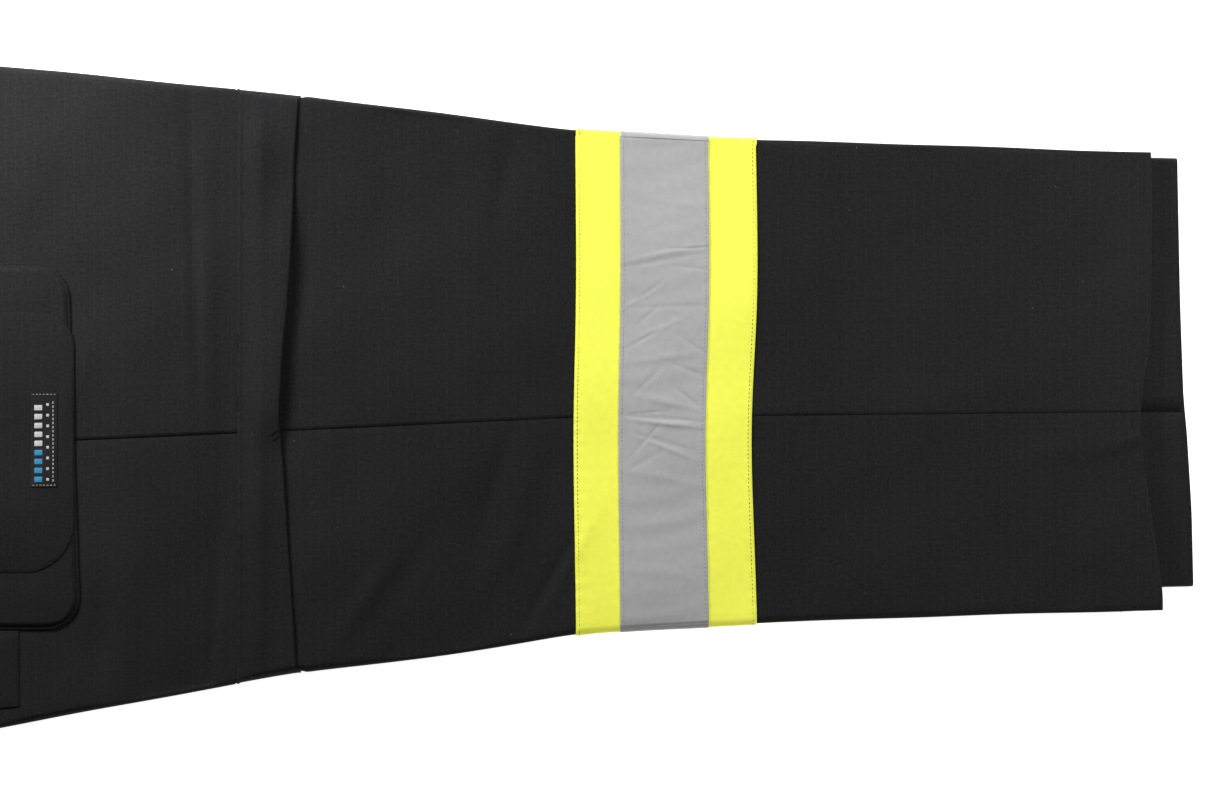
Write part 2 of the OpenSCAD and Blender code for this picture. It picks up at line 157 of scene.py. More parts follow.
# creases in the right leg: from the storm flap's seam and the outseam, in mm: along, across,
# turn in degrees, half length, half width, height
creases = [
    (-24, 95, 92, 95, 3, -1.3), (-16, 100, 90, 90, 4, 0.7), (-12.5, -104, 87, 50, 3, -1.6),
    (-6, -106, 90, 45, 3.5, 0.9), (-76, -109, 88, 42, 8, -1.5), (-60, -100, 84, 40, 7, 0.9),
    (34, 72, 84, 62, 6, -1.4), (98, 118, -49, 55, 9, -1.5), (118, 110, -51, 60, 6, 0.7),
    (137, 92, -53, 70, 5, 1.0), (151, 139, 80, 30, 6, -1.3), (174, 137, -62, 34, 5, 1.1),
    (147, -29, 72, 34, 6, -1.3), (162, -40, 74, 34, 7, 0.9), (72, -97, 55, 36, 6, 1.1),
    (92, -88, 58, 36, 7, -0.7), (177, -92, 61, 28, 4, -1.5), (186, -84, 61, 28, 4, 1.1),
    (148, -77, 61, 30, 7, 0.8),
    (-90, 30, 70, 70, 6, 0.5), (-130, 120, 60, 60, 12, 0.6), (250, -60, 88, 60, 12, 0.6),
    (330, 70, 84, 90, 12, 0.7), (420, -60, 95, 70, 12, 0.75), (440, 90, 80, 60, 8, -0.5),
    (470, -20, 10, 30, 7, 0.75), (508, -14, 20, 26, 4, 1.0), (380, 10, 4, 110, 12, 0.6),
]


def ripple(x, y, seed, amount=1.0):
    # a sum of sine waves, each running its own way across the cloth
    z = np.zeros(np.broadcast(x, y).shape)
    for k, (height, length, turn, phase) in enumerate(waves):
        a = np.radians(turn + 31 * seed)
        turns = (x * np.cos(a) + y * np.sin(a)) / (length * mm)
        z = z + height * np.sin(2 * np.pi * turns + phase * seed + k)
    return z * amount * mm


def crease(x, y, spot, turn, long, wide, height):
    # a ridge: a bell across it and a wider bell along it
    a = np.radians(turn)
    dx, dy = x - spot[0], y - spot[1]
    run = dx * np.cos(a) + dy * np.sin(a)
    off = dy * np.cos(a) - dx * np.sin(a)
    return height * np.exp(-(off / wide) ** 2 - (run / long) ** 2)


def relief(leg, x, y):
    # how far the outer cloth stands off its flat place: a crown that flattens towards the band, waves and
    # creases, all faded out along the storm flap's seam
    v = (y - yMiddle - 25 * mm) / (150 * mm)
    crown = 4.5 * mm * smoothStep((at(700) - x) / (300 * mm)) * smoothStep((x - at(150)) / (150 * mm))
    z = ripple(x, y, leg["seed"], 1.15) + (crown * np.exp(-v ** 2 * 1.3) if leg["name"] == "right" else 0)
    for dx, dy, turn, long, wide, height in creases:
        spot = (xFlap + dx * mm, ySeam(xFlap + dx * mm) + dy * mm)
        z = z + crease(x, y, spot, turn, long * mm, wide * mm, height * mm)
    return z * leg["rough"] * (1 - np.exp(-((x - xFlap - leg["shift"]) / (13 * mm)) ** 2))


def outerHeight(leg, x):
    # thigh level, a slope to the knee level, then a slow settling towards the hem
    t = (x - xSlope[0]) / (xSlope[1] - xSlope[0])
    z = leg["outer"][0] + (leg["outer"][1] - leg["outer"][0]) * smoothStep(t)
    below = smoothStep((x - xFlap - 36 * mm) / (90 * mm))
    hem = smoothStep((x - at(870)) / (190 * mm))
    return z - leg["settle"] * below - leg["thin"] * hem


def innerHeight(leg, x):
    # the layer against the other leg: the outer level less the leg's height
    t = (x - xSlope[0]) / (xSlope[1] - xSlope[0])
    z = leg["outer"][0] + (leg["outer"][1] - leg["outer"][0]) * smoothStep(t)
    return z - leg["sign"] * legHeight


def foldLine(leg, x, front):
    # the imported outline, drawn in under the storm flap and a little fuller at the back above the band
    under = smoothStep((x - leg["shift"] - xFlap + 2 * mm) / (4 * mm))
    under = under * smoothStep((xFlap + leg["shift"] + 40 * mm - x) / (6 * mm))
    if front:
        return np.interp(x, *leg["front"]) - 1.3 * mm * under
    full = np.exp(-((x - at(688)) / (52 * mm)) ** 2)
    return -np.interp(x, *leg["back"]) + 1.5 * mm * under - 2.2 * mm * full


def legSurface(leg, x, w, lift=0.0):
    # w runs from the outseam: 0 to 1 the outer layer, 1 to 2 half an ellipse round the fold, 2 to 3 the
    # inner layer. Positive w goes round the front fold and negative w round the back fold.
    x, w = np.broadcast_arrays(x, w)
    front, a = w >= 0, np.abs(w)
    edge = np.where(front, foldLine(leg, x, True), foldLine(leg, x, False))
    way = np.where(front, 1.0, -1.0)
    outer, inner = outerHeight(leg, x), innerHeight(leg, x)
    hip = 1 - smoothStep((x - xCrotch + 90 * mm) / (90 * mm))
    inner = inner + (2 * hipMiddle - outer - inner) * hip
    middle, half = (outer + inner) / 2, (outer - inner) / 2
    half = half + leg["sign"] * lift
    round_ = 2.6 * mm + 5.6 * mm * hip
    centre = edge - way * round_
    turn = np.clip(a - 1, 0, 1) * np.pi
    seam = ySeam(x)
    y = np.where(a < 1, seam + (centre - seam) * a, centre + way * (round_ + lift) * np.sin(turn))
    y = np.where(a > 2, centre + (seam - centre) * (a - 2), y)
    z = middle + half * np.cos(turn)
    onTop = smoothStep((1.06 - a) / 0.1)
    z = z + leg["sign"] * relief(leg, x, y) * onTop
    y = y + 0.35 * mm * way * np.sin(x / (23 * mm) + 2 * way) * np.sin(x / (61 * mm)) * np.sin(turn)
    return np.stack([x, y, z], -1)


def outerCloth(leg, x, y, lift=0.0):
    # height of the outer layer straight above a point of the plan
    x, y = np.broadcast_arrays(np.asarray(x, float), np.asarray(y, float))
    z = outerHeight(leg, x) + leg["sign"] * (relief(leg, x, y) + lift)
    return z


# meshes

def meshObject(name, points, faces, uv, material, smooth=True):
    # arrays of points and equal-sided faces, put straight into a mesh
    mesh = bpy.data.meshes.new(name)
    mesh.vertices.add(len(points))
    mesh.vertices.foreach_set("co", np.asarray(points, np.float32).ravel())
    mesh.loops.add(faces.size)
    mesh.loops.foreach_set("vertex_index", faces.astype(np.int32).ravel())
    mesh.polygons.add(len(faces))
    mesh.polygons.foreach_set("loop_start", np.arange(0, faces.size, faces.shape[1], dtype=np.int32))
    mesh.update(calc_edges=True)
    mesh.polygons.foreach_set("use_smooth", np.full(len(faces), smooth))
    layer = mesh.uv_layers.new(name="cloth")
    layer.data.foreach_set("uv", np.asarray(uv, np.float32)[faces.ravel()].ravel())
    mesh.validate()
    mesh.materials.append(material)
    piece = bpy.data.objects.new(name, mesh)
    bpy.context.scene.collection.objects.link(piece)
    return piece


def gridFaces(rows, cols, closed=False):
    # one four-sided face for each cell of the grid; closed joins the last column to the first
    index = np.arange(rows * cols).reshape(rows, cols)
    if closed:
        index = np.concatenate([index, index[:, :1]], axis=1)
    return np.stack([index[:-1, :-1], index[1:, :-1], index[1:, 1:], index[:-1, 1:]], -1).reshape(-1, 4)


def clothPiece(name, grid, uv, material, out, thick=0.45, closed=False):
    # a grid of points made into cloth of a real thickness; out is the way its first points face
    rows, cols = grid.shape[:2]
    faces = gridFaces(rows, cols, closed)
    r, c = rows // 2, 0
    normal = np.cross(grid[r + 1, c] - grid[r, c], grid[r, c + 1] - grid[r, c])
    if normal @ np.asarray(out, float) < 0:
        faces = faces[:, ::-1]
    piece = meshObject(name, grid.reshape(-1, 3), faces, uv.reshape(-1, 2), material)
    solid = piece.modifiers.new("thickness", "SOLIDIFY")
    solid.thickness = thick * mm
    solid.offset = -1
    solid.use_even_offset = False
    return piece


def runUv(grid, start=0.0):
    # along the rows the distance in x, and across them the length of cloth from the first column
    step = np.linalg.norm(np.diff(grid, axis=1), axis=2)
    across = np.concatenate([np.zeros((len(grid), 1)), np.cumsum(step, axis=1)], axis=1)
    return np.stack([grid[..., 0] - cadLow.x, across + start], -1)


def sheetArea(piece):
    # the sum of the areas of all faces
    return float(sum(p.area for p in piece.data.polygons))


def declareSheet(piece, flat=None):
    # the cut size: the cloth's own length in the plan, and the width that gives its area
    area = sheetArea(piece)
    points = np.array([v.co[:] for v in piece.data.vertices])
    size = sorted(points.max(0) - points.min(0))[1:]
    length = max(size[1], 0.011)
    width = max(area / length, size[0], 0.011)
    if flat is not None:
        width, length = flat[0] * mm, flat[1] * mm


# one stitch: a low bead, six points round and three rings between its tips
beadRings = [(-0.8, 0.6), (0.0, 1.0), (0.8, 0.6)]


def beadTemplate():
    # corner points and triangles of one stitch, two units long: a point, three rings of six, a point
    a = np.arange(6) * np.pi / 3
    rings = [np.stack([np.full(6, t), r * np.cos(a), r * np.sin(a)], -1) for t, r in beadRings]
    points = np.concatenate([[[-1.0, 0, 0]], *rings, [[1.0, 0, 0]]])
    k = np.arange(6)
    n = (k + 1) % 6
    faces = [np.stack([np.zeros(6, int), 1 + n, 1 + k], -1)]
    for j in range(len(beadRings) - 1):
        lo, hi = 1 + 6 * j, 7 + 6 * j
        faces.append(np.stack([lo + k, lo + n, hi + k], -1))
        faces.append(np.stack([lo + n, hi + n, hi + k], -1))
    last = len(points) - 1
    faces.append(np.stack([np.full(6, last), last - 6 + k, last - 6 + n], -1))
    return points, np.concatenate(faces)


def spaced(path, facing, pitch):
    # places at even distances along a path, with the way it runs and the way the cloth faces there
    path = np.asarray(path, float)
    facing = np.broadcast_to(np.asarray(facing, float), path.shape)
    step = np.linalg.norm(np.diff(path, axis=0), axis=1)
    run = np.concatenate([[0], np.cumsum(step)])
    marks = np.arange(pitch / 2, run[-1], pitch)

    def read(values, where):
        return np.stack([np.interp(where, run, values[:, k]) for k in range(3)], -1)

    way = read(path, marks + pitch / 4) - read(path, marks - pitch / 4)
    way /= np.maximum(np.linalg.norm(way, axis=1, keepdims=True), 1e-12)
    return read(path, marks), way, read(facing, marks)


def stitches(name, runs, material, body, pitch=2.3, size=(1.7, 0.42, 0.3), turned=False):
    # each run is a path and the way the cloth faces; a bead, half sunk in the cloth, lies at each stitch.
    # Turned beads lie across the path, as in a bartack or a row of zip teeth.
    bead, faces = beadTemplate()
    half = np.array(size) * mm / 2
    parts = []
    for path, facing in runs:
        spots, along, up = spaced(path, facing, pitch * mm)
        side = np.cross(up, along)
        side /= np.maximum(np.linalg.norm(side, axis=1, keepdims=True), 1e-9)
        up = np.cross(along, side)
        if turned:
            along, side = side, along
        frames = np.stack([along * half[0], side * half[1], up * half[2]], 1)
        parts.append((spots[:, None] + bead @ frames).reshape(-1, 3))
    points = np.concatenate(parts)
    count = len(points) // len(bead)
    tris = (faces[None] + len(bead) * np.arange(count)[:, None, None]).reshape(-1, 3)
    piece = meshObject(name, points, tris, points[:, :2], material)
    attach(piece, body)
    return piece


# materials

def addNode(tree, kind, **settings):
    # one shader node with some of its settings
    node = tree.nodes.new(kind)
    for key, value in settings.items():
        setattr(node, key, value)
    return node


def maths(tree, operation, a, b=None, c=None):
    # one maths node; each input is a number or the output of another node
    node = addNode(tree, "ShaderNodeMath", operation=operation)
    for k, value in enumerate([a, b, c]):
        if value is None:
            continue
        if isinstance(value, (int, float)):
            node.inputs[k].default_value = value
        else:
            tree.links.new(value, node.inputs[k])
    return node.outputs[0]


def makeGroup(name, inputs, outputs):
    # an empty node group with named sockets
    group = bpy.data.node_groups.new(name, "ShaderNodeTree")
    for socket, kind, value in inputs:
        made = group.interface.new_socket(name=socket, in_out="INPUT", socket_type=kind)
        made.default_value = value
    for socket, kind in outputs:
        group.interface.new_socket(name=socket, in_out="OUTPUT", socket_type=kind)
    return group, addNode(group, "NodeGroupInput"), addNode(group, "NodeGroupOutput")


def lineMask(tree, coordinate, pitch, width):
    # 1 on lines a pitch apart and 0 between them, from the distance to the nearest line
    share = maths(tree, "DIVIDE", coordinate, pitch)
    near = maths(tree, "PINGPONG", share, 0.5)
    inside = maths(tree, "MULTIPLY", near, pitch)
    fall = maths(tree, "DIVIDE", inside, width)
    return maths(tree, "MAXIMUM", maths(tree, "SUBTRACT", 1.0, fall), 0.0)


def ripstopGroup():
    # plain weave with a thicker yarn every few millimetres each way, plus soft patches and lint
    group, source, target = makeGroup("ripstopWeave", [
        ("Vector", "NodeSocketVector", (0, 0, 0)), ("Colour", "NodeSocketColor", (0.02, 0.02, 0.02, 1)),
        ("Yarn Pitch", "NodeSocketFloat", 0.0055), ("Cross Strength", "NodeSocketFloat", 0.4),
        ("Line Strength", "NodeSocketFloat", 0.3), ("Patches", "NodeSocketFloat", 0.15),
        ("Lint", "NodeSocketFloat", 0.5)],
        [("Colour", "NodeSocketColor"), ("Height", "NodeSocketFloat"), ("Roughness", "NodeSocketFloat")])
    split = addNode(group, "ShaderNodeSeparateXYZ")
    group.links.new(source.outputs["Vector"], split.inputs[0])
    wobble = addNode(group, "ShaderNodeTexNoise")
    wobble.inputs["Scale"].default_value = 90
    group.links.new(source.outputs["Vector"], wobble.inputs["Vector"])
    shift = maths(group, "MULTIPLY", maths(group, "SUBTRACT", wobble.outputs[0], 0.5), 0.0009)
    along = maths(group, "ADD", split.outputs[0], shift)
    across = maths(group, "ADD", split.outputs[1], shift)
    warp = lineMask(group, along, source.outputs["Yarn Pitch"], 0.00034)
    weft = lineMask(group, across, source.outputs["Yarn Pitch"], 0.0003)
    weft = maths(group, "MULTIPLY", weft, source.outputs["Cross Strength"])
    broken = addNode(group, "ShaderNodeTexNoise")
    broken.inputs["Scale"].default_value = 600
    broken.inputs["Detail"].default_value = 5
    broken.inputs["Roughness"].default_value = 0.7
    group.links.new(source.outputs["Vector"], broken.inputs["Vector"])
    grid = maths(group, "MULTIPLY", maths(group, "MAXIMUM", warp, weft),
                 maths(group, "MULTIPLY", broken.outputs[0], 1.8))
    fineA = maths(group, "SINE", maths(group, "MULTIPLY", split.outputs[0], 2 * np.pi / 0.0011))
    fineB = maths(group, "SINE", maths(group, "MULTIPLY", split.outputs[1], 2 * np.pi / 0.0011))
    fine = maths(group, "MULTIPLY", fineA, fineB)
    patch = addNode(group, "ShaderNodeTexNoise")
    patch.inputs["Scale"].default_value = 11
    patch.inputs["Detail"].default_value = 6
    group.links.new(source.outputs["Vector"], patch.inputs["Vector"])
    soft = maths(group, "SUBTRACT", patch.outputs[0], 0.5)
    soft = maths(group, "MULTIPLY", soft, source.outputs["Patches"])
    value = maths(group, "ADD", maths(group, "MULTIPLY", grid, source.outputs["Line Strength"]), soft)
    value = maths(group, "ADD", value, maths(group, "MULTIPLY", fine, 0.05))
    slubs = 0.0
    for stretch in ((60, 1400, 0), (1400, 60, 0)):
        mapping = addNode(group, "ShaderNodeMapping")
        mapping.inputs["Scale"].default_value = stretch
        group.links.new(source.outputs["Vector"], mapping.inputs["Vector"])
        streak = addNode(group, "ShaderNodeTexNoise")
        streak.inputs["Scale"].default_value = 1.0
        streak.inputs["Detail"].default_value = 3
        group.links.new(mapping.outputs[0], streak.inputs["Vector"])
        slubs = maths(group, "ADD", maths(group, "SUBTRACT", streak.outputs[0], 0.5), slubs)
    grain = maths(group, "MULTIPLY", maths(group, "SUBTRACT", broken.outputs[0], 0.5), 2.2)
    grain = maths(group, "ADD", grain, maths(group, "MULTIPLY", slubs, 0.5))
    value = maths(group, "ADD", maths(group, "ADD", value, 1.0), grain)
    scaled = addNode(group, "ShaderNodeVectorMath", operation="SCALE")
    group.links.new(source.outputs["Colour"], scaled.inputs[0])
    group.links.new(value, scaled.inputs["Scale"])
    specks = addNode(group, "ShaderNodeTexVoronoi")
    specks.inputs["Scale"].default_value = 75
    group.links.new(source.outputs["Vector"], specks.inputs["Vector"])
    dot = maths(group, "LESS_THAN", specks.outputs["Distance"], 0.022)
    some = maths(group, "GREATER_THAN", patch.outputs[0], 0.51)
    lint = maths(group, "MULTIPLY", maths(group, "MULTIPLY", dot, some), source.outputs["Lint"])
    mix = addNode(group, "ShaderNodeMix", data_type="RGBA")
    group.links.new(lint, mix.inputs["Factor"])
    group.links.new(scaled.outputs[0], mix.inputs[6])
    mix.inputs[7].default_value = (0.35, 0.35, 0.36, 1)
    group.links.new(mix.outputs[2], target.inputs["Colour"])
    height = maths(group, "ADD", maths(group, "MULTIPLY", grid, 0.6), maths(group, "MULTIPLY", fine, 0.25))
    group.links.new(height, target.inputs["Height"])
    rough = maths(group, "SUBTRACT", 0.9, maths(group, "MULTIPLY", grid, 0.12))
    group.links.new(rough, target.inputs["Roughness"])
    return group


def ribGroup():
    # woven tape: close ribs one way, finer threads the other way, and a little mottling
    group, source, target = makeGroup("tapeRibs", [
        ("Vector", "NodeSocketVector", (0, 0, 0)), ("Colour", "NodeSocketColor", (0.5, 0.5, 0.5, 1)),
        ("Rib Pitch", "NodeSocketFloat", 0.0011), ("Rib Strength", "NodeSocketFloat", 0.1),
        ("Turned", "NodeSocketFloat", 0.0)],
        [("Colour", "NodeSocketColor"), ("Height", "NodeSocketFloat")])
    split = addNode(group, "ShaderNodeSeparateXYZ")
    group.links.new(source.outputs["Vector"], split.inputs[0])
    pick = addNode(group, "ShaderNodeMix", data_type="FLOAT")
    group.links.new(source.outputs["Turned"], pick.inputs[0])
    group.links.new(split.outputs[1], pick.inputs[2])
    group.links.new(split.outputs[0], pick.inputs[3])
    turns = maths(group, "DIVIDE", pick.outputs[0], source.outputs["Rib Pitch"])
    rib = maths(group, "SINE", maths(group, "MULTIPLY", turns, 2 * np.pi))
    noise = addNode(group, "ShaderNodeTexNoise")
    noise.inputs["Scale"].default_value = 260
    noise.inputs["Detail"].default_value = 4
    group.links.new(source.outputs["Vector"], noise.inputs["Vector"])
    mottle = maths(group, "MULTIPLY", maths(group, "SUBTRACT", noise.outputs[0], 0.5), 0.22)
    value = maths(group, "ADD", maths(group, "MULTIPLY", rib, source.outputs["Rib Strength"]), mottle)
    scaled = addNode(group, "ShaderNodeVectorMath", operation="SCALE")
    group.links.new(source.outputs["Colour"], scaled.inputs[0])
    group.links.new(maths(group, "ADD", value, 1.0), scaled.inputs["Scale"])
    group.links.new(scaled.outputs[0], target.inputs["Colour"])
    group.links.new(value, target.inputs["Height"])
    return group


weave = ripstopGroup()
ribs = ribGroup()


def newMaterial(name):
    # a material, its node tree and its main shader
    material = bpy.data.materials.new(name)
    material.use_nodes = True
    tree = material.node_tree
    return material, tree, tree.nodes["Principled BSDF"]


def place(tree, byUv=True):
    # the piece's own UV map, or its place on the whole garment
    coordinates = addNode(tree, "ShaderNodeTexCoord")
    return coordinates.outputs["UV" if byUv else "Object"]


def bumped(tree, shader, height, strength, distance):
    # small relief from a height value
    bump = addNode(tree, "ShaderNodeBump")
    bump.inputs["Strength"].default_value = strength
    bump.inputs["Distance"].default_value = distance
    tree.links.new(height, bump.inputs["Height"])
    tree.links.new(bump.outputs[0], shader.inputs["Normal"])


def ripstop(name, colour, lines=0.16, cross=0.3, lint=0.4, patches=0.5, byUv=True, sheen=0.03):
    # matt cloth with a fine square grid of thicker yarns
    material, tree, shader = newMaterial(name)
    cloth = addNode(tree, "ShaderNodeGroup", node_tree=weave)
    tree.links.new(place(tree, byUv), cloth.inputs["Vector"])
    cloth.inputs["Colour"].default_value = (*colour, 1)
    cloth.inputs["Line Strength"].default_value = lines
    cloth.inputs["Cross Strength"].default_value = cross
    cloth.inputs["Lint"].default_value = lint
    cloth.inputs["Patches"].default_value = patches
    tree.links.new(cloth.outputs["Colour"], shader.inputs["Base Color"])
    tree.links.new(cloth.outputs["Roughness"], shader.inputs["Roughness"])
    bumped(tree, shader, cloth.outputs["Height"], 0.5, 0.00015)
    shader.inputs["Specular IOR Level"].default_value = 0.25
    shader.inputs["Sheen Weight"].default_value = sheen
    shader.inputs["Sheen Roughness"].default_value = 0.45
    shader.inputs["Sheen Tint"].default_value = (0.85, 0.84, 0.9, 1)
    return material


def tape(name, colour, pitch, strength, roughness=0.8, turned=0.0, specular=0.3, byUv=True, paintedGlow=0.0):
    # ribbed woven tape; the glow sets a constant emission in the tape's own colour: painted light, standing
    # in for the extra brightness of a fluorescent dye under the lamps
    material, tree, shader = newMaterial(name)
    cloth = addNode(tree, "ShaderNodeGroup", node_tree=ribs)
    tree.links.new(place(tree, byUv), cloth.inputs["Vector"])
    cloth.inputs["Colour"].default_value = (*colour, 1)
    cloth.inputs["Rib Pitch"].default_value = pitch
    cloth.inputs["Rib Strength"].default_value = strength
    cloth.inputs["Turned"].default_value = turned
    tree.links.new(cloth.outputs["Colour"], shader.inputs["Base Color"])
    bumped(tree, shader, cloth.outputs["Height"], 0.4, 0.0003)
    shader.inputs["Roughness"].default_value = roughness
    shader.inputs["Specular IOR Level"].default_value = specular
    # painted light: the tape shines with its own colour whatever light falls on it
    if paintedGlow:
        tree.links.new(cloth.outputs["Colour"], shader.inputs["Emission Color"])
        shader.inputs["Emission Strength"].default_value = paintedGlow
    return material


def metal(name, colour, roughness, painted=False):
    # metal or paint with a faintly uneven tone and polish
    material, tree, shader = newMaterial(name)
    noise = addNode(tree, "ShaderNodeTexNoise")
    noise.inputs["Scale"].default_value = 900
    tree.links.new(place(tree, False), noise.inputs["Vector"])
    ramp = addNode(tree, "ShaderNodeMapRange")
    ramp.inputs["To Min"].default_value = roughness - 0.08
    ramp.inputs["To Max"].default_value = roughness + 0.1
    tree.links.new(noise.outputs[0], ramp.inputs["Value"])
    tree.links.new(ramp.outputs[0], shader.inputs["Roughness"])
    tint = addNode(tree, "ShaderNodeMix", data_type="RGBA")
    tint.inputs[6].default_value = (*[c * 0.8 for c in colour], 1)
    tint.inputs[7].default_value = (*colour, 1)
    tree.links.new(noise.outputs[0], tint.inputs["Factor"])
    tree.links.new(tint.outputs[2], shader.inputs["Base Color"])
    shader.inputs["Metallic"].default_value = 0.0 if painted else 1.0
    bumped(tree, shader, noise.outputs[0], 0.1, 0.0001)
    return material


def fuzzy(name, colour, scale):
    # a rough pile: its tone and its bumps follow the same noise
    material, tree, shader = newMaterial(name)
    noise = addNode(tree, "ShaderNodeTexNoise")
    noise.inputs["Scale"].default_value = scale
    noise.inputs["Detail"].default_value = 5
    tree.links.new(place(tree, False), noise.inputs["Vector"])
    tint = addNode(tree, "ShaderNodeMix", data_type="RGBA")
    tint.inputs[6].default_value = (*[c * 0.5 for c in colour], 1)
    tint.inputs[7].default_value = (*[c * 1.6 for c in colour], 1)
    tree.links.new(noise.outputs[0], tint.inputs["Factor"])
    tree.links.new(tint.outputs[2], shader.inputs["Base Color"])
    shader.inputs["Roughness"].default_value = 0.95
    bumped(tree, shader, noise.outputs[0], 0.9, 0.0006)
    return material


clothBlack = ripstop("ripstopBlack", (0.0155, 0.0150, 0.0160))
flapBlack = ripstop("ripstopFlap", (0.0148, 0.0140, 0.0152), lines=0.12)
pocketBlack = ripstop("ripstopPocket", (0.0135, 0.0130, 0.0140))
liningGrey = ripstop("twillLining", (0.030, 0.030, 0.032), lines=0.1, cross=1.0, lint=0.1)
# the yellow band's emission is painted light that brightens it beyond what the lamps give
yellow = tape("hivisYellow", (0.95, 0.98, 0.105), 0.0011, 0.06, 0.75, 0.0, 0.2, paintedGlow=0.24)
silver = tape("reflectiveSilver", (0.54, 0.54, 0.54), 0.0008, 0.012, 0.5, 0.0, 0.4)
zipTape = tape("zipTapeBlack", (0.012, 0.012, 0.013), 0.0006, 0.2, 0.8, 1.0)
elastic = tape("ribbedElastic", (0.01, 0.01, 0.01), 0.0016, 0.35, 0.85, 0.0, byUv=False)
labelCloth = tape("labelDamask", (0.006, 0.006, 0.007), 0.0005, 0.15, 0.55, 0.0, 0.4)
labelBlue = tape("labelBlue", (0.03, 0.28, 0.55), 0.0005, 0.15, 0.6, 0.0, 0.4)
labelWhite = tape("labelWhite", (0.62, 0.62, 0.62), 0.0005, 0.15, 0.6, 0.0, 0.4)
careWhite = tape("careSatin", (0.75, 0.75, 0.73), 0.0005, 0.05, 0.4, 0.0, 0.5)
threadBlack = fuzzy("threadBlack", (0.010, 0.010, 0.011), 3000)
# near-black pile: the flap bartacks, and painted shade in a bead along the pocket edges
bartackAndEdgeShade = fuzzy("bartackAndEdgeShade", (0.0035, 0.0035, 0.004), 2500)
threadOlive = fuzzy("threadOlive", (0.10, 0.11, 0.03), 3000)
threadPale = fuzzy("threadPale", (0.62, 0.60, 0.50), 3000)
hookLoop = fuzzy("hookAndLoop", (0.012, 0.012, 0.013), 1400)
coilNylon = metal("nylonCoil", (0.02, 0.02, 0.021), 0.45, painted=True)
sliderPaint = metal("sliderPaint", (0.05, 0.05, 0.052), 0.35, painted=True)
brassOld = metal("antiqueBrass", (0.42, 0.33, 0.16), 0.4)
nickel = metal("dullNickel", (0.5, 0.5, 0.5), 0.35)
print("materials made")


# the camera, the light and the table

view = {"width": 0.6845, "centre": (0.2225, 0.0), "distance": 2.6}


def makeCamera():
    # straight above the legs, with the view's width at the height of the cloth
    camera = bpy.data.objects.new("camera", bpy.data.cameras.new("camera"))
    camera.data.sensor_width = 36
    camera.data.lens = 36 * view["distance"] / view["width"]
    camera.location = (view["centre"][0], yMiddle + view["centre"][1], kneeTop + view["distance"])
    camera.data.clip_end = 100
    bpy.context.scene.collection.objects.link(camera)
    bpy.context.scene.camera = camera


def areaLight(name, at, aim, size, power):
    # a soft rectangle of light, turned to face its aim
    light = bpy.data.lights.new(name, "AREA")
    light.shape = "RECTANGLE"
    light.size, light.size_y = size
    light.energy = power
    lamp = bpy.data.objects.new(name, light)
    lamp.location = at
    way = np.array(aim, float) - np.array(at, float)
    lamp.rotation_mode = "QUATERNION"
    lamp.rotation_quaternion = Vector(way).to_track_quat("-Z", "Y")
    bpy.context.scene.collection.objects.link(lamp)


def makeStage():
    # a white table that glows a little, so that it stays white, and soft light from the far side
    points = np.array([[-6, -6, 0], [6, -6, 0], [6, 6, 0], [-6, 6, 0]], float)
    material, _, shader = newMaterial("paleTable")
    shader.inputs["Base Color"].default_value = (0.9, 0.9, 0.9, 1)
    shader.inputs["Roughness"].default_value = 0.9
    shader.inputs["Emission Color"].default_value = (1, 1, 1, 1)
    shader.inputs["Emission Strength"].default_value = 0.97
    floor = meshObject("floor", points, np.array([[0, 1, 2, 3]]), points[:, :2], material)
    world = bpy.data.worlds.new("world")
    world.use_nodes = True
    world.node_tree.nodes["Background"].inputs["Color"].default_value = (1, 1, 1, 1)
    world.node_tree.nodes["Background"].inputs["Strength"].default_value = 0.03
    bpy.context.scene.world = world
    bpy.context.scene.view_settings.view_transform = "Standard"
    areaLight("window", (-0.30, 0.41, 0.34), (0.0, 0.04, 0), (0.45, 0.2), 4.6)
    areaLight("fill", (0.70, 0.26, 0.50), (0.45, 0.0, 0), (0.4, 0.4), 2.8)


makeCamera()
makeStage()
print("camera, light and table made")


# the panels

spacing = {"right": 2.2, "left": 4.5}      # distance between the points of a panel, in mm


def acrossSteps(step):
    # columns of a panel: even on the flat layers, close round the fold
    outer = np.linspace(0, 1, int(175 / step))
    turn = np.linspace(1, 2, 13)[1:]
    inner = np.linspace(2, 3, int(175 / step / 2.5))[1:]
    return np.concatenate([outer, turn, inner])


def seamLift(x, d, front):
    # the front panel laps over the back one at the outseam: a raised edge, a stitch groove and puckers
    wave = np.sin(2 * np.pi * x / (9.5 * mm) + 2 * np.sin(x / (31 * mm)))
    pucker = 0.14 * mm * wave * np.exp(-(d / (6 * mm)) ** 2)
    if not front:
        return pucker - 0.05 * mm * np.exp(-(d / (3 * mm)) ** 2)
    groove = 0.3 * mm * np.exp(-((d - 2.2 * mm) / (0.8 * mm)) ** 2)
    return pucker + 0.02 * mm * np.exp(-(d / (5 * mm)) ** 2) - 0.4 * groove


def addSeam(leg, grid, w, front):
    # the front panel's raised edge, and the back panel's edge tucked under it
    d = np.abs(grid[..., 1] - ySeam(grid[..., 0]))
    grid[..., 2] += seamLift(grid[..., 0], d, front) * (np.abs(w) < 1.0) * leg["sign"]
    if not front:
        grid[:, 1, 1] = grid[:, 0, 1] - 0.5 * mm
        grid[:, 0, 1] += 1.5 * mm
        grid[:, 0, 2] -= 0.22 * mm * leg["sign"]


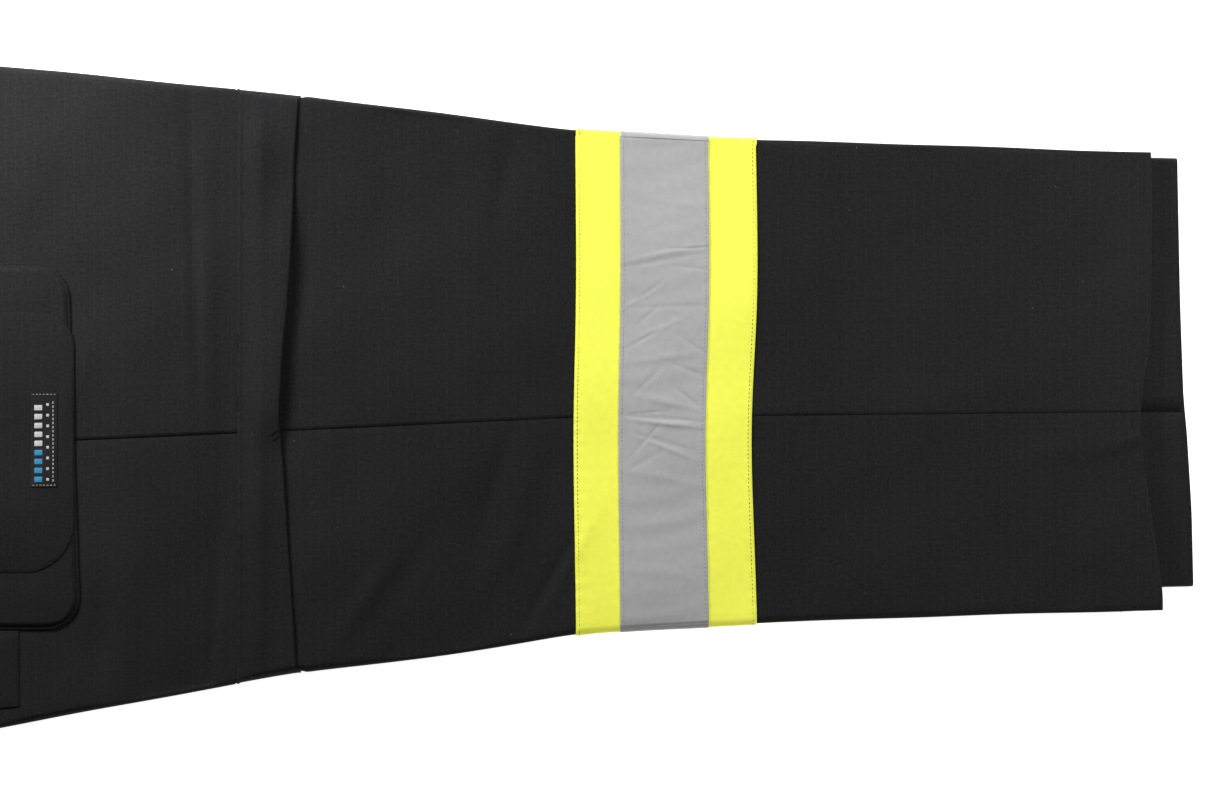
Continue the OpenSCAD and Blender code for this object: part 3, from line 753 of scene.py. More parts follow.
def upperPanel(leg, front):
    # from the waist seam to under the storm flap; past the crotch it goes right round the fold
    step = spacing[leg["name"]]
    x0, x1 = xWaistSeam - 1 * mm, xFlap + 5 * mm + leg["shift"]
    x = np.linspace(x0, x1, int((x1 - x0) / mm / step))[:, None]
    w = acrossSteps(step)[None, :]
    reach = 1.5 + 1.5 * smoothStep((x - xCrotch + 70 * mm) / (70 * mm))
    way = w * reach / 3 * (1 if front else -1)
    grid = legSurface(leg, x, way)
    join = smoothStep((xCrotch + 30 * mm - x) / (50 * mm)) * (w / 3) ** 6
    grid[..., 2] += (hipMiddle - grid[:, -1:, 2]) * join
    addSeam(leg, grid, way, front)
    name = leg["name"] + ("FrontPanelCloth" if front else "BackPanelCloth")
    piece = clothPiece(name, grid, runUv(grid, 0.3 if front else 0.0), clothBlack, (0, 0, leg["sign"]))
    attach(piece, "trousers")
    nodes = ["_front_panel"] if front else ["_back_panel", "_back_thigh"]
    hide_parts(*[leg["name"] + node for node in nodes])
    declareSheet(piece)


# the hem line of each leg, in mm: across from the middle line, and along from the hem's front corner
hemShape = {
    "right": [(143, 0), (116, 0.5), (60, 0.2), (31, -1.0), (12, -4.6), (-4.5, -6.4), (-20, -5.4), (-37, -3.6),
              (-104, 6.4), (-117, 6.8)],
    "left": [(143, 0), (60, 1.6), (3, 3.6), (-14, 5.4), (-60, 8.2), (-104, 9.2)],
}


def hemX(leg, y):
    # x of the hem at y
    shape = np.array(hemShape[leg["name"]])[::-1]
    v, dx = softened(shape[:, 0] * mm, shape[:, 1] * mm, 14 * mm)
    return at(1080) + leg["shift"] + np.interp(y - yMiddle, v, dx)


def hemLift(fromHem):
    # the turned-up hem: a thicker border, the groove of its stitches and a rounded edge
    fold = 0.45 * mm * smoothStep((25.5 * mm - fromHem) / (1.5 * mm))
    groove = 0.3 * mm * np.exp(-((fromHem - 24 * mm) / (0.9 * mm)) ** 2)
    return fold - groove - 0.5 * mm * np.exp(-(fromHem / (1.0 * mm)) ** 2)


def lowerPanel(leg, front):
    # from the zip to the hem, its rows spread evenly over the hem's own outline
    step = spacing[leg["name"]]
    x0 = xFlap + 21 * mm + leg["shift"]
    s = np.linspace(0, 1, int(495 / step))[:, None]
    w = acrossSteps(step)[None, :] * (1 if front else -1)
    flat = legSurface(leg, x0 + s * 495 * mm, w)
    end = hemX(leg, flat[-1:, :, 1])
    x = x0 + (end - x0) * s
    grid = legSurface(leg, x, w + 0 * s)
    addSeam(leg, grid, w + 0 * s, front)
    side = np.where(np.abs(w) < 1.5, 1.0, -1.0)
    grid[..., 2] += hemLift(end - x) * side * leg["sign"]
    name = leg["name"] + ("LowerFrontCloth" if front else "LowerBackCloth")
    piece = clothPiece(name, grid, runUv(grid, 0.5 if front else 0.2), clothBlack, (0, 0, leg["sign"]))
    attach(piece, leg["body"])
    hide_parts(leg["name"] + ("_lower_front" if front else "_lower_back"))
    declareSheet(piece)


for leg in legs.values():
    for front in (True, False):
        upperPanel(leg, front)
        lowerPanel(leg, front)
print("panels made")


# tubes round a leg: band, silver tape, zip tapes and teeth, flap wrap

ringParts = [(-3, -2, 40), (-2, -1, 12), (-1, 0, 90), (0, 1, 90), (1, 2, 12), (2, 3, 40)]
ringSteps = np.concatenate([np.linspace(a, b, n)[:-1] for a, b, n in ringParts])


def bowed(leg, x, w, amount):
    # an edge drawn towards the waist near the outseam
    v = legSurface(leg, x, w)[..., 1] - yMiddle
    bow = np.exp(-((v + 8 * mm) / (60 * mm)) ** 2) - 0.3 * np.sin(v / (37 * mm))
    return x - amount * mm * bow * (np.abs(w) < 1)


def ringPiece(name, leg, span, lift, cloth, body, node, step=1.6, shape=None, thick=0.4, w=ringSteps,
              bow=(0, 0)):
    # a strip of cloth round a leg, between two values of x
    t = np.linspace(0, 1, max(int((span[1] - span[0]) / mm / step), 4))[:, None]
    x = span[0] + (span[1] - span[0]) * t
    x = bowed(leg, x, w[None, :], bow[0] + (bow[1] - bow[0]) * t)
    grid = legSurface(leg, x, w[None, :], lift * mm)
    if shape is not None:
        grid[..., 2] += shape(grid[..., 0], grid[..., 1]) * leg["sign"] * (np.abs(w) < 1)
    out = (0, 0, leg["sign"] if abs(w[0]) < 1.5 else -leg["sign"])
    piece = clothPiece(name, grid, runUv(grid), cloth, out, thick, closed=abs(w[0]) > 2.9)
    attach(piece, body)
    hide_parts(node)
    declareSheet(piece)
    return piece


# wrinkles of the silver tape, in mm from the outseam: across, turn, half length, half width, height
silverWrinkles = [
    (95, 3, 13, 0.8, -0.5), (93, 12, 22, 1.6, 0.4), (88, 10, 20, 1.3, -0.45), (84, -6, 9, 1.0, -0.3),
    (70, 38, 8, 1.0, -0.45), (66, 32, 10, 1.3, 0.35), (62, 2, 22, 1.4, -0.25), (57, 42, 8, 1.0, -0.4),
    (50, 24, 14, 1.6, 0.3), (44, 30, 9, 1.0, -0.4), (40, -34, 9, 1.2, -0.3), (33, 8, 24, 2.4, 0.35),
    (26, -22, 12, 1.4, -0.3), (20, 44, 11, 1.3, -0.35), (12, -40, 9, 1.1, -0.4), (8, -12, 18, 2.2, 0.45),
    (2, 6, 9, 0.8, -0.5), (-1, -4, 15, 0.9, -0.8), (-4, -6, 17, 1.6, 0.7), (-12, 48, 10, 0.9, -0.5),
    (-14, -16, 14, 1.3, -0.4), (-18, -22, 14, 1.5, 0.35), (-24, 30, 12, 1.6, -0.25), (-34, -12, 18, 3, 0.3),
    (-60, 8, 20, 4, 0.25), (122, -10, 20, 3, 0.3), (-88, -6, 22, 4, 0.25), (108, 20, 14, 2, -0.25),
]


def silverShape(x, y):
    # the silver tape's wrinkles: narrow ridges and valleys near the outseam
    middle = (bandBox[0].x + bandBox[1].x) / 2
    z = 0.12 * mm * np.sin(y / (2.4 * mm) + 2.2 * np.sin(x / (17 * mm))) * np.sin(y / (21 * mm)) + 0.25 * mm
    for k, (dy, turn, long, wide, height) in enumerate(silverWrinkles):
        away = 0 if long > 13 else 13 * (1 if -30 < turn < 6 else np.sign(-turn))
        spot = (middle + (away + 3 * np.sin(k * 2.1)) * mm, ySeam(middle) + dy * mm)
        z = z + crease(x, y, spot, turn, long * mm, wide * mm, height * mm)
    return (z + np.sqrt(z ** 2 + (0.15 * mm) ** 2)) / 2


def bandShape(x, y):
    # the yellow band puckers a little along its two rows of stitches
    d = np.minimum(np.abs(x - bandBox[0].x), np.abs(x - bandBox[1].x))
    wave = np.sin(2 * np.pi * y / (7.3 * mm) + 2 * np.sin(y / (19 * mm)))
    pucker = 0.10 * mm * wave * np.exp(-(d / (6 * mm)) ** 2)
    return pucker - 0.25 * mm * np.exp(-((d - 2 * mm) / (0.9 * mm)) ** 2)


def ringRun(leg, x, w, lift, bow=0.0):
    # a line round a leg at one x, with the way the cloth faces along it
    x = bowed(leg, np.full(len(w), x), w, bow)
    path = legSurface(leg, x, w, lift * mm)
    facing = legSurface(leg, x, w, (lift + 1) * mm) - path
    return path, facing / np.linalg.norm(facing, axis=1, keepdims=True)


fineSteps = np.concatenate([np.linspace(-3, -1, 200)[:-1], np.linspace(-1, 1, 500)[:-1],
                            np.linspace(1, 3, 200)])
zipLine = xFlap + 13 * mm
bandBow = (1.2, 1.0, 1.7, 2.6)      # how far each edge of the band and the silver tape bows, in mm

for leg in legs.values():
    side, shift = leg["name"], leg["shift"]
    band = (bandBox[0].x + shift, bandBox[1].x + shift)
    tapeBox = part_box("right_silver_tape")
    shine = (tapeBox[0].x + shift, tapeBox[1].x + shift)
    ringPiece(side + "HivisBandCloth", leg, band, 0.75, yellow, leg["body"], side + "_hivis_band",
              shape=bandShape if side == "right" else None, bow=(bandBow[0], bandBow[3]))
    ringPiece(side + "SilverTapeCloth", leg, shine, 1.1, silver, leg["body"], side + "_silver_tape",
              step=0.7, shape=silverShape if side == "right" else None, thick=0.3, bow=bandBow[1:3],
              w=fineSteps if side == "right" else ringSteps)
    dark, pale = [], []
    for x, bow in ((band[0] + 2 * mm, bandBow[0]), (band[1] - 2 * mm, bandBow[3])):
        path, facing = ringRun(leg, x, fineSteps, 0.75, bow)
        if side == "right":
            path[:, 2] += bandShape(path[:, 0], path[:, 1]) * (np.abs(fineSteps) < 1)
        dark.append((path, facing))
    for x, bow in ((shine[0] + 1.9 * mm, bandBow[1]), (shine[1] - 1.9 * mm, bandBow[2])):
        path, facing = ringRun(leg, x, fineSteps, 1.15, bow)
        if side == "right":
            path[:, 2] += silverShape(path[:, 0], path[:, 1]) * (np.abs(fineSteps) < 1)
        pale.append((path, facing))
    stitches(side + "BandStitches", dark, threadOlive, leg["body"], size=(1.5, 0.4, 0.3))
    stitches(side + "SilverStitches", pale, threadPale, leg["body"], size=(1.7, 0.45, 0.35))
    zipX = zipLine + shift
    ringPiece(side + "UpperZipTape", leg, (zipX - 16.5 * mm, zipX - 2.4 * mm), -0.95, zipTape, "trousers",
              side + "_upper_tape", step=1.2)
    ringPiece(side + "LowerZipTape", leg, (zipX + 2.4 * mm, zipX + 16.5 * mm), -0.95, zipTape, leg["body"],
              side + "_lower_tape", step=1.2)
    for x, body, part in ((zipX - 1.9 * mm, "trousers", "upper"), (zipX + 1.9 * mm, leg["body"], "lower")):
        path, facing = ringRun(leg, x, fineSteps, -0.9)
        if part == "lower":
            path, facing = path[1:], facing[1:]
        row = stitches(side + part.title() + "ZipTeeth", [(path, facing)], coilNylon, body,
                       pitch=1.5, size=(3.3, 0.95, 1.5), turned=True)
        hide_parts(side + "_" + part + "_teeth")
print("bands and zips made")


# the storm flaps


# the free edge of the storm flap, in mm: across from the middle line, and its distance from the root
flapEdge = [(-160, 34.0), (-133, 32.2), (-106, 30.4), (-51, 27.0), (-26, 25.5), (-17, 23.9), (-6, 23.8),
            (3, 24.2), (30, 25.9), (57, 28.7), (84, 30.4), (111, 31.6), (138, 32.2), (165, 33.9), (185, 35.6)]


# its bartacks, in mm: from and to across the leg, and from and to away from the root
flapBartacks = [((32, 39), (0.5, 0.9)), ((-3, 5), (0.1, 0.7)), ((-20, -17), (20.5, 23.2)),
                ((-17, -14), (18.5, 22.8))]


def flapWidth(v):
    # from the root to the free edge, at a place across the leg
    shape = np.array(flapEdge) * mm
    fine, line = softened(shape[:, 0], shape[:, 1], 22 * mm)
    return np.interp(v, fine, line)


def flapLift(s, y):
    # height of the flap over the cloth: up from its seam, a stitched groove, a long ridge over the zip,
    # then out to a free edge that stands off most beside the slider
    v = y - yMiddle
    stand = 0.9 + 3.6 * np.exp(-((v - 40 * mm) / (64 * mm)) ** 4) * smoothStep((v + 30 * mm) / (30 * mm))
    stand = stand + 0.9 * np.exp(-((v + 12 * mm) / (14 * mm)) ** 2)
    d = s * flapWidth(v)
    z = 0.15 + 1.15 * smoothStep(d / (1.6 * mm)) + (stand - 0.6) * smoothStep(s) ** 1.5
    z = z - 0.55 * np.exp(-((d - 3.2 * mm) / (0.8 * mm)) ** 2)
    z = z - 0.2 * np.exp(-((d - 0.9 * mm) / (0.5 * mm)) ** 2)
    z = z + 1.4 * np.exp(-((d - 12.5 * mm) / (5 * mm)) ** 2)
    slider = np.exp(-((v + 8 * mm) / (17 * mm)) ** 2) + 1.4 * np.exp(-((v - 145 * mm) / (24 * mm)) ** 2)
    z = z + 1.5 * slider * np.exp(-((d - 14 * mm) / (9 * mm)) ** 2)
    z = z + 0.25 * np.sin(v / (11 * mm) + 1.3 * np.sin(v / (23 * mm))) * s ** 2
    wave = np.sin(2 * np.pi * v / (8.2 * mm) + 2 * np.sin(v / (27 * mm)))
    z = z + 0.16 * wave * np.exp(-(d / (5 * mm)) ** 2)
    return z * mm


def flapSurface(leg, s, w):
    # s runs from the root to the free edge, w across the leg as in legSurface
    root = xFlap + leg["shift"]
    v = legSurface(leg, root + 18 * mm + 0 * w, w)[..., 1] - yMiddle
    x = root + s * flapWidth(v)
    x, w = np.broadcast_arrays(x, w)
    lift = flapLift(s, v + yMiddle)
    calm = np.exp(-(np.maximum(np.abs(w) - 0.86, 0) / 0.12) ** 2)
    lift = lift * calm + 1.15 * mm * (1 - calm) * smoothStep(s * 20)
    points = legSurface(leg, x, w, lift)
    points[..., 2] = np.maximum(points[..., 2], 0.15 * mm)
    return points


for leg in legs.values():
    side, shift = leg["name"], leg["shift"]
    s = np.concatenate([np.linspace(0, 0.1, 7)[:-1], np.linspace(0.1, 1, 26)])[:, None]
    fine = 1.9 if side == "right" else 4
    w = np.concatenate([np.linspace(-1.16, -1, 5)[:-1], np.linspace(-1, 1, int(325 / fine))[:-1],
                        np.linspace(1, 1.16, 5)])[None, :]
    grid = flapSurface(leg, s, w)
    piece = clothPiece(side + "StormFlapCloth", grid, runUv(grid, 0.11), flapBlack, (0, 0, leg["sign"]), 0.8)
    body = side + "_flap_body"
    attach(piece, body)
    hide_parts(side + "_storm_flap")
    declareSheet(piece)
    wrap = np.concatenate([np.linspace(1.1, 2, 16)[:-1], np.linspace(2, 3, 40)[:-1],
                           -np.linspace(3, 2, 40)[:-1], -np.linspace(2, 1.1, 16)])
    ringPiece(side + "FlapWrapCloth", leg, (xFlap + shift, xFlap + shift + 35.5 * mm), 1.12, flapBlack,
              "trousers", side + "_flap_wrap", w=wrap, thick=0.7)
    line = np.linspace(-1.1, 1.1, 700)
    runs = []
    for d in (0.9, 3.2):
        v = legSurface(leg, xFlap + shift + d * mm + 0 * line, line)[:, 1] - yMiddle
        path = flapSurface(leg, d * mm / flapWidth(v), line)
        runs.append((path, (0, 0, leg["sign"])))
    stitches(side + "FlapStitches", runs, threadBlack, body)
    runs = []
    for v, d in flapBartacks:
        v, d = np.linspace(*v, 20) * mm, np.linspace(*d, 20) * mm
        x = xFlap + shift + d
        lift = np.maximum(flapLift(d / flapWidth(v), v + yMiddle), 0.2 * mm)
        path = np.stack([x, v + yMiddle, np.maximum(outerCloth(leg, x, v + yMiddle, lift), 0.2 * mm)], -1)
        runs.append((path, (0, 0, leg["sign"])))
    stitches(side + "FlapBartacks", runs, bartackAndEdgeShade, body, pitch=0.8, size=(0.8, 1.7, 0.8))
print("storm flaps made")


# patches: pockets, flaps, tapes and labels that lie on the cloth


# each patch: where it starts and ends along the leg (at its back and at its front), its back and front
# edges across it, and the radii of its two end corners, all in mm
patches = {
    "pouch": {"x": (266, 476.5, 470), "y": (-126, 79), "round": (19, 19)},
    "phone": {"x": (322, 473.5, 473), "y": (-94, 52.5), "round": (28, 20)},
    "flap": {"x": (239, 319.5, 319.5), "y": (-131, 84), "round": (9, 9)},
    "tape": {"x": (276, 301, 301), "y": (-74, 27), "round": (2, 2)},
    "label": {"x": (449, 464, 464), "y": (-46, 7), "round": (0.6, 0.6)},
    "hip": {"x": (78, 214, 214), "y": (-255, -105), "round": (3, 3), "point": 14},
    "elastic": {"x": (2, 36, 36), "y": (-150, -40), "round": (1, 1)},
    "care": {"x": (4, 34, 34), "y": (-225, -185), "round": (1, 1)},
    "fly": {"x": (40, 202, 202), "y": (195, 231), "round": (34, 2)},
    "bag": {"x": (70, 330, 300), "y": (30, 180), "round": (44, 34)},
}


def patchEnd(shape, v, inset=0.0):
    # x of the far edge at v: a slanted line, less the bite of each rounded corner, plus a point
    lo, hi = shape["y"]
    end = np.interp(v, [lo, hi], shape["x"][1:]) - inset
    for r, d in ((shape["round"][0], shape["y"][0] + shape["round"][0] - v),
                 (shape["round"][1], v - shape["y"][1] + shape["round"][1])):
        r = max(r - inset, 0.01)
        end = end - (r - np.sqrt(r ** 2 - np.clip(d, 0, r) ** 2))
    return end + shape.get("point", 0) * (1 - np.abs(2 * v - lo - hi) / (hi - lo))


def patchRows(shape, step, inset=0.0):
    # places across a patch: even in the middle, and by the cosine or sine of the turn at its
    # rounded corners
    lo, hi = shape["y"][0] + inset, shape["y"][1] - inset
    a, b = max(shape["round"][0] - inset, 0.01), max(shape["round"][1] - inset, 0.01)
    turn = np.linspace(0, np.pi / 2, 9)
    middle = np.linspace(lo + a, hi - b, max(int((hi - lo - a - b) / step), 3))
    return np.concatenate([lo + a * (1 - np.cos(turn))[:-1], middle, hi - b + b * np.sin(turn)[1:]])


def patchBorder(shape, v, u):
    # distance from the nearest border that is sewn down or folded
    return np.minimum(np.minimum(v - shape["y"][0], shape["y"][1] - v), patchEnd(shape, v) - u)


def patchPiece(name, leg, shape, lift, cloth, body, node, step=2.0, thick=0.5):
    # rows across the patch and columns from its straight edge to its rounded end, lying on the leg
    v = patchRows(shape, step)[:, None]
    t = np.linspace(0, 1, max(int((shape["x"][1] - shape["x"][0]) / step), 4))[None, :]
    t = (t + 0.5 * (1 - np.cos(np.pi * t))) / 2
    u = shape["x"][0] + (patchEnd(shape, v) - shape["x"][0]) * t
    v = v + 0 * u
    x, y = at(u), across(v)
    grid = np.stack([x, y, outerCloth(leg, x, y, lift(u, v) * mm)], -1)
    uv = np.stack([x + 0.37, y + 0.11], -1)
    piece = clothPiece(name, grid, uv, cloth, (0, 0, leg["sign"]), thick)
    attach(piece, body)
    if node:
        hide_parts(node)
    declareSheet(piece)
    return piece


def onCloth(leg, u, v, lift):
    # points lying on the outer layer, lift mm above it; u and v in mm
    x, y = at(u), across(v)
    return np.stack([x, y, outerCloth(leg, x, y, lift * mm)], -1)


def borderRun(leg, shape, inset, lift, start=0.0, closed=False):
    # a line of stitches inside the border of a patch, from its start round its end and back
    v = patchRows(shape, 1.0, inset)
    far = patchEnd(shape, v, inset)
    begin = shape["x"][0] + start
    side = np.linspace(0, 1, 160)
    u = np.concatenate([begin + (far[0] - begin) * side[:-1], far, far[-1] + (begin - far[-1]) * side[1:]])
    v = np.concatenate([0 * side[:-1] + v[0], v, 0 * side[1:] + v[-1]])
    if closed:
        u = np.append(u, begin + 0 * side)
        v = np.append(v, v[-1] + (v[0] - v[-1]) * side)
    return onCloth(leg, u, v, lift(u, v)), (0, 0, leg["sign"])


def lineRun(leg, a, b, lift, count=200):
    # a straight line of stitches from a to b, each (u, v) in mm
    t = np.linspace(0, 1, count)
    u, v = a[0] + (b[0] - a[0]) * t, a[1] + (b[1] - a[1]) * t
    return onCloth(leg, u, v, lift(u, v) if callable(lift) else lift + 0 * u), (0, 0, leg["sign"])


def pouchLift(u, v):
    # the pouch over the cloth: fuller in the middle, a stitched groove inside its edge
    d = np.maximum(patchBorder(patches["pouch"], v, u), 0)
    soft = 0.35 * np.sin(u / 17 + 1.2 * np.sin(v / 31)) * np.sin(v / 26 + 0.8) * smoothStep(d / 20)
    mouth = 0.5 * smoothStep((290 - u) / 30)
    groove = 0.3 * np.exp(-((d - 2.2) / 0.8) ** 2)
    return 1.6 + 1.2 * smoothStep(d / 24) + soft + mouth - groove - 0.6 * np.exp(-(d / 0.8) ** 2)


def phoneLift(u, v):
    # the flat pocket over the pouch, slightly crowned, with its own groove
    d = np.maximum(patchBorder(patches["phone"], v, u), 0)
    crown = 0.5 * smoothStep(d / 15)
    groove = 0.25 * np.exp(-((d - 2.0) / 0.8) ** 2)
    return pouchLift(u, v) + 0.7 + crown - groove - 0.5 * np.exp(-(d / 0.7) ** 2)


def labelLift(u, v):
    # the label over the flat pocket
    return phoneLift(u, v) + 0.4


def flapTop(u, v):
    # the pocket flap: up from its seam, level over the pouch, and drooping at its free sides
    d = np.maximum(patchBorder(patches["flap"], v, u), 0)
    rise = smoothStep((u - 239) / 4.5) ** 0.6
    return 0.3 + rise * (4.6 - 1.1 * np.exp(-(d / 3.5) ** 2) - 0.25 * np.exp(-((d - 7) / 0.9) ** 2))


def bellowsPiece(leg):
    # the gusset of the pouch: a strip folded in half inwards, from the cloth up to the face's edge
    shape = patches["pouch"]
    v = patchRows(shape, 2.5, 1.2)
    far = patchEnd(shape, v, 1.2)
    begin = shape["x"][0] + 2
    side = np.linspace(0, 1, 60)
    u = np.concatenate([begin + (far[0] - begin) * side[:-1], far, far[-1] + (begin - far[-1]) * side[1:]])
    v = np.concatenate([0 * side[:-1] + v[0], v, 0 * side[1:] + v[-1]])
    way = np.stack([np.gradient(u), np.gradient(v)], -1)
    way /= np.linalg.norm(way, axis=1, keepdims=True)
    inward = np.stack([-way[:, 1], way[:, 0]], -1)
    t = np.linspace(0, 1, 13)
    reach = 0.4 + 11 * np.sin(np.pi * t) ** 0.8
    rise = 0.1 + 1.3 * (t + 0.08 * np.sin(4 * np.pi * t))
    plan = np.stack([u, v], -1)[:, None] + inward[:, None] * reach[None, :, None]
    grid = onCloth(leg, plan[..., 0], plan[..., 1], np.broadcast_to(rise, plan.shape[:2]))
    uv = np.stack([np.broadcast_to(np.arange(len(u))[:, None] * 2.5 * mm, grid.shape[:2]),
                   np.broadcast_to(t * 25 * mm, grid.shape[:2])], -1)
    piece = clothPiece(leg["name"] + "CargoBellows", grid, uv, pocketBlack, (0, 0, leg["sign"]), 0.4)
    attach(piece, "trousers")
    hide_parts(leg["name"] + "_cargo_bellows")
    declareSheet(piece)


for leg in legs.values():
    side = leg["name"]
    front = side + "FrontPanelCloth"
    bellowsPiece(leg)
    patchPiece(side + "PouchFace", leg, patches["pouch"], pouchLift, pocketBlack, "trousers",
               side + "_cargo_pouch")
    patchPiece(side + "PhonePocket", leg, patches["phone"], phoneLift, pocketBlack, "trousers",
               side + "_phone_pocket")
    patchPiece(side + "LoopTape", leg, patches["tape"], lambda u, v: pouchLift(u, v) + 0.55, hookLoop,
               "trousers", side + "_loop_tape")
    patchPiece(side + "HookTape", leg, patches["tape"], lambda u, v: flapTop(u, v) - 0.8, hookLoop,
               side + "_pocket_flap", side + "_hook_tape")
    patchPiece(side + "PocketFlap", leg, patches["flap"], flapTop, pocketBlack, side + "_pocket_flap",
               side + "_cargo_flap", step=1.6, thick=0.8)
    runs = [borderRun(leg, patches["pouch"], 2.2, pouchLift),
            borderRun(leg, patches["phone"], 2.0, phoneLift),
            borderRun(leg, patches["phone"], 8.5, phoneLift, closed=False),
            lineRun(leg, (322, 47.8), (468, 47.8), phoneLift),
            lineRun(leg, (268, -122), (268, 75), pouchLift),
            lineRun(leg, (286, -122), (286, 75), pouchLift)]
    stitches(side + "PocketStitches", runs, threadBlack, "trousers")
    # a near-black bead just inside the edges of the pouch and the phone pocket: painted shade for the groove
    # where each edge meets the cloth
    runs = [borderRun(leg, patches["pouch"], 0.1, lambda u, v: pouchLift(u, v) - 0.1),
            borderRun(leg, patches["phone"], 0.1, lambda u, v: phoneLift(u, v) - 0.1)]
    stitches(side + "PocketEdgeShade", runs, bartackAndEdgeShade, "trousers", 1.5, (2.2, 0.8, 0.5))
    runs = [borderRun(leg, patches["flap"], inset, flapTop, 5) for inset in (1.8, 7.0)]
    stitches(side + "PocketFlapStitches", runs, threadBlack, side + "_pocket_flap")
print("cargo pockets made")

right, left = legs["right"], legs["left"]


# the woven label, with plain bars and dashes for its pattern

labelBars = {
    # (first and last distance along the leg, first and last place across it), in mm
    "blue": [(451.2, 455.6, -43.2 + 5.0 * k, -40.2 + 5.0 * k) for k in range(4)],
    "white": [(451.2, 455.6, -23.0 + 5.0 * k, -20.0 + 5.0 * k) for k in range(5)]
             + [(457.9, 459.4, -42.5 + 6.0 * k, -41.0 + 6.0 * k) for k in range(8)]
             + [(461.4, 461.9, -43.0 + 2.3 * k, -41.7 + 2.3 * k) for k in range(20)],
}


def labelMarks(name, bars, material):
    # each bar is a small raised block of weave with a bevelled edge
    t = np.array([0.0, 0.12, 0.88, 1.0])
    rise = np.array([0.0, 1.0, 1.0, 0.0])
    grids = []
    for u0, u1, v0, v1 in bars:
        u, v = np.meshgrid(u0 + (u1 - u0) * t, v0 + (v1 - v0) * t, indexing="ij")
        up = 0.12 * np.minimum(rise[:, None], rise[None, :])
        grids.append(onCloth(right, u, v, labelLift(u, v) + up))
    points = np.concatenate([g.reshape(-1, 3) for g in grids])
    faces = np.concatenate([gridFaces(4, 4) + 16 * k for k in range(len(grids))])
    piece = meshObject(name, points, faces, points[:, :2], material)
    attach(piece, "trousers")


patchPiece("wovenLabel", right, patches["label"], labelLift, labelCloth, "trousers", "woven_label",
           step=1.0, thick=0.3)
labelMarks("labelBlueBars", labelBars["blue"], labelBlue)
labelMarks("labelWhiteBars", labelBars["white"], labelWhite)
runs = [lineRun(right, (449.6, v), (463.4, v), labelLift) for v in (-45, 6)]
stitches("labelStitches", runs, threadPale, "trousers", pitch=2.0, size=(1.3, 0.35, 0.3))
print("label made")


# flat pockets

def ruleLift(u, v):
    # the narrow pocket over the cloth, with two stitched grooves inside its edge
    lo, hi = np.interp(u, [262, 442], [-188, -170]), np.interp(u, [262, 442], [-132, -126.5])
    d = np.maximum(np.minimum(np.minimum(v - lo, hi - v), 442 - u), 0)
    groove = 0.25 * np.exp(-((d - 2.0) / 0.8) ** 2) + 0.25 * np.exp(-((d - 8.0) / 0.8) ** 2)
    return 0.75 + 0.4 * smoothStep(d / 10) - groove - 0.45 * np.exp(-(d / 0.8) ** 2)


def rulePocket():
    # rows along the leg between two slanting sides
    u = np.linspace(262, 442, 91)[:, None]
    t = np.linspace(0, 1, 30)[None, :]
    lo, hi = np.interp(u, [262, 442], [-188, -170]), np.interp(u, [262, 442], [-132, -126.5])
    v = lo + (hi - lo) * (t + 0.5 * (1 - np.cos(np.pi * t))) / 2
    u = u + 0 * v
    grid = onCloth(right, u, v, ruleLift(u, v))
    piece = clothPiece("rulePocketCloth", grid, grid[..., :2] + 0.2, pocketBlack, (0, 0, 1), 0.5)
    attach(piece, "trousers")
    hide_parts("rule_pocket")
    declareSheet(piece)
    corners = [[(263, -186 + k), (440 - k, -168.4 + k), (440 - k, -128.4 - k), (263, -134 - k)]
               for k in (0, 6)]
    runs = [lineRun(right, c[j], c[j + 1], ruleLift) for c in corners for j in range(3)]
    stitches("rulePocketStitches", runs, threadBlack, "trousers")


def flatLift(shape):
    # a plain pocket over the cloth: crowned inwards from its border, with a groove under its stitches
    def lift(u, v):
        d = np.maximum(np.minimum(patchBorder(shape, v, u), u - shape["x"][0]), 0)
        groove = 0.25 * np.exp(-((d - 2.0) / 0.8) ** 2)
        return 0.7 + 0.35 * smoothStep(d / 10) - groove - 0.45 * np.exp(-(d / 0.8) ** 2)
    return lift


rulePocket()
hipLift = flatLift(patches["hip"])
for leg in legs.values():
    side = leg["name"]
    patchPiece(side + "BackPocket", leg, patches["hip"], hipLift, pocketBlack, "trousers",
               side + "_back_pocket", step=2.6)
    runs = [borderRun(leg, patches["hip"], 2.0, hipLift), borderRun(leg, patches["hip"], 8.0, hipLift),
            lineRun(leg, (80, -253), (80, -107), hipLift), lineRun(leg, (98, -253), (98, -107), hipLift)]
    stitches(side + "BackPocketStitches", runs, threadBlack, "trousers")
    patchPiece(side + "PocketBag", leg, patches["bag"],
               lambda u, v: -1.6 - 0.4 * np.sin(u / 25) * np.sin(v / 19), liningGrey, "trousers",
               side + "_pocket_bag",
               step=5, thick=0.5)
print("flat pockets made")


# the waist

def hipGrid(span, lift, step=1.6, half=np.linspace(-1.5, 1.5, 300)):
    # a strip round the whole hip: over the right side, then back under the left one
    x = np.linspace(*span, max(int((span[1] - span[0]) / mm / step), 4))[:, None]
    over = legSurface(right, x, half[None, :], lift * mm)
    under = legSurface(left, x, half[None, ::-1], lift * mm)
    return np.concatenate([over[:, :-1], under[:, :-1]], axis=1)


def hipPiece(name, span, lift, cloth, node, roll=0.0, thick=0.6, step=1.6):
    # a closed strip of cloth round the hip; roll draws both of its edges in towards the cloth
    grid = hipGrid(span, lift, step)
    x = grid[..., 0]
    middle = np.array([0, 0, hipMiddle])
    edge = np.minimum(x - span[0], span[1] - x)
    draw = roll * mm * np.exp(-(edge / (0.9 * mm)) ** 2)
    grid[..., 2] -= draw * np.sign(grid[..., 2] - middle[2])
    piece = clothPiece(name, grid, runUv(grid), cloth, (0, -1, 0), thick, closed=True)
    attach(piece, "trousers")
    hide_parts(node)
    declareSheet(piece)


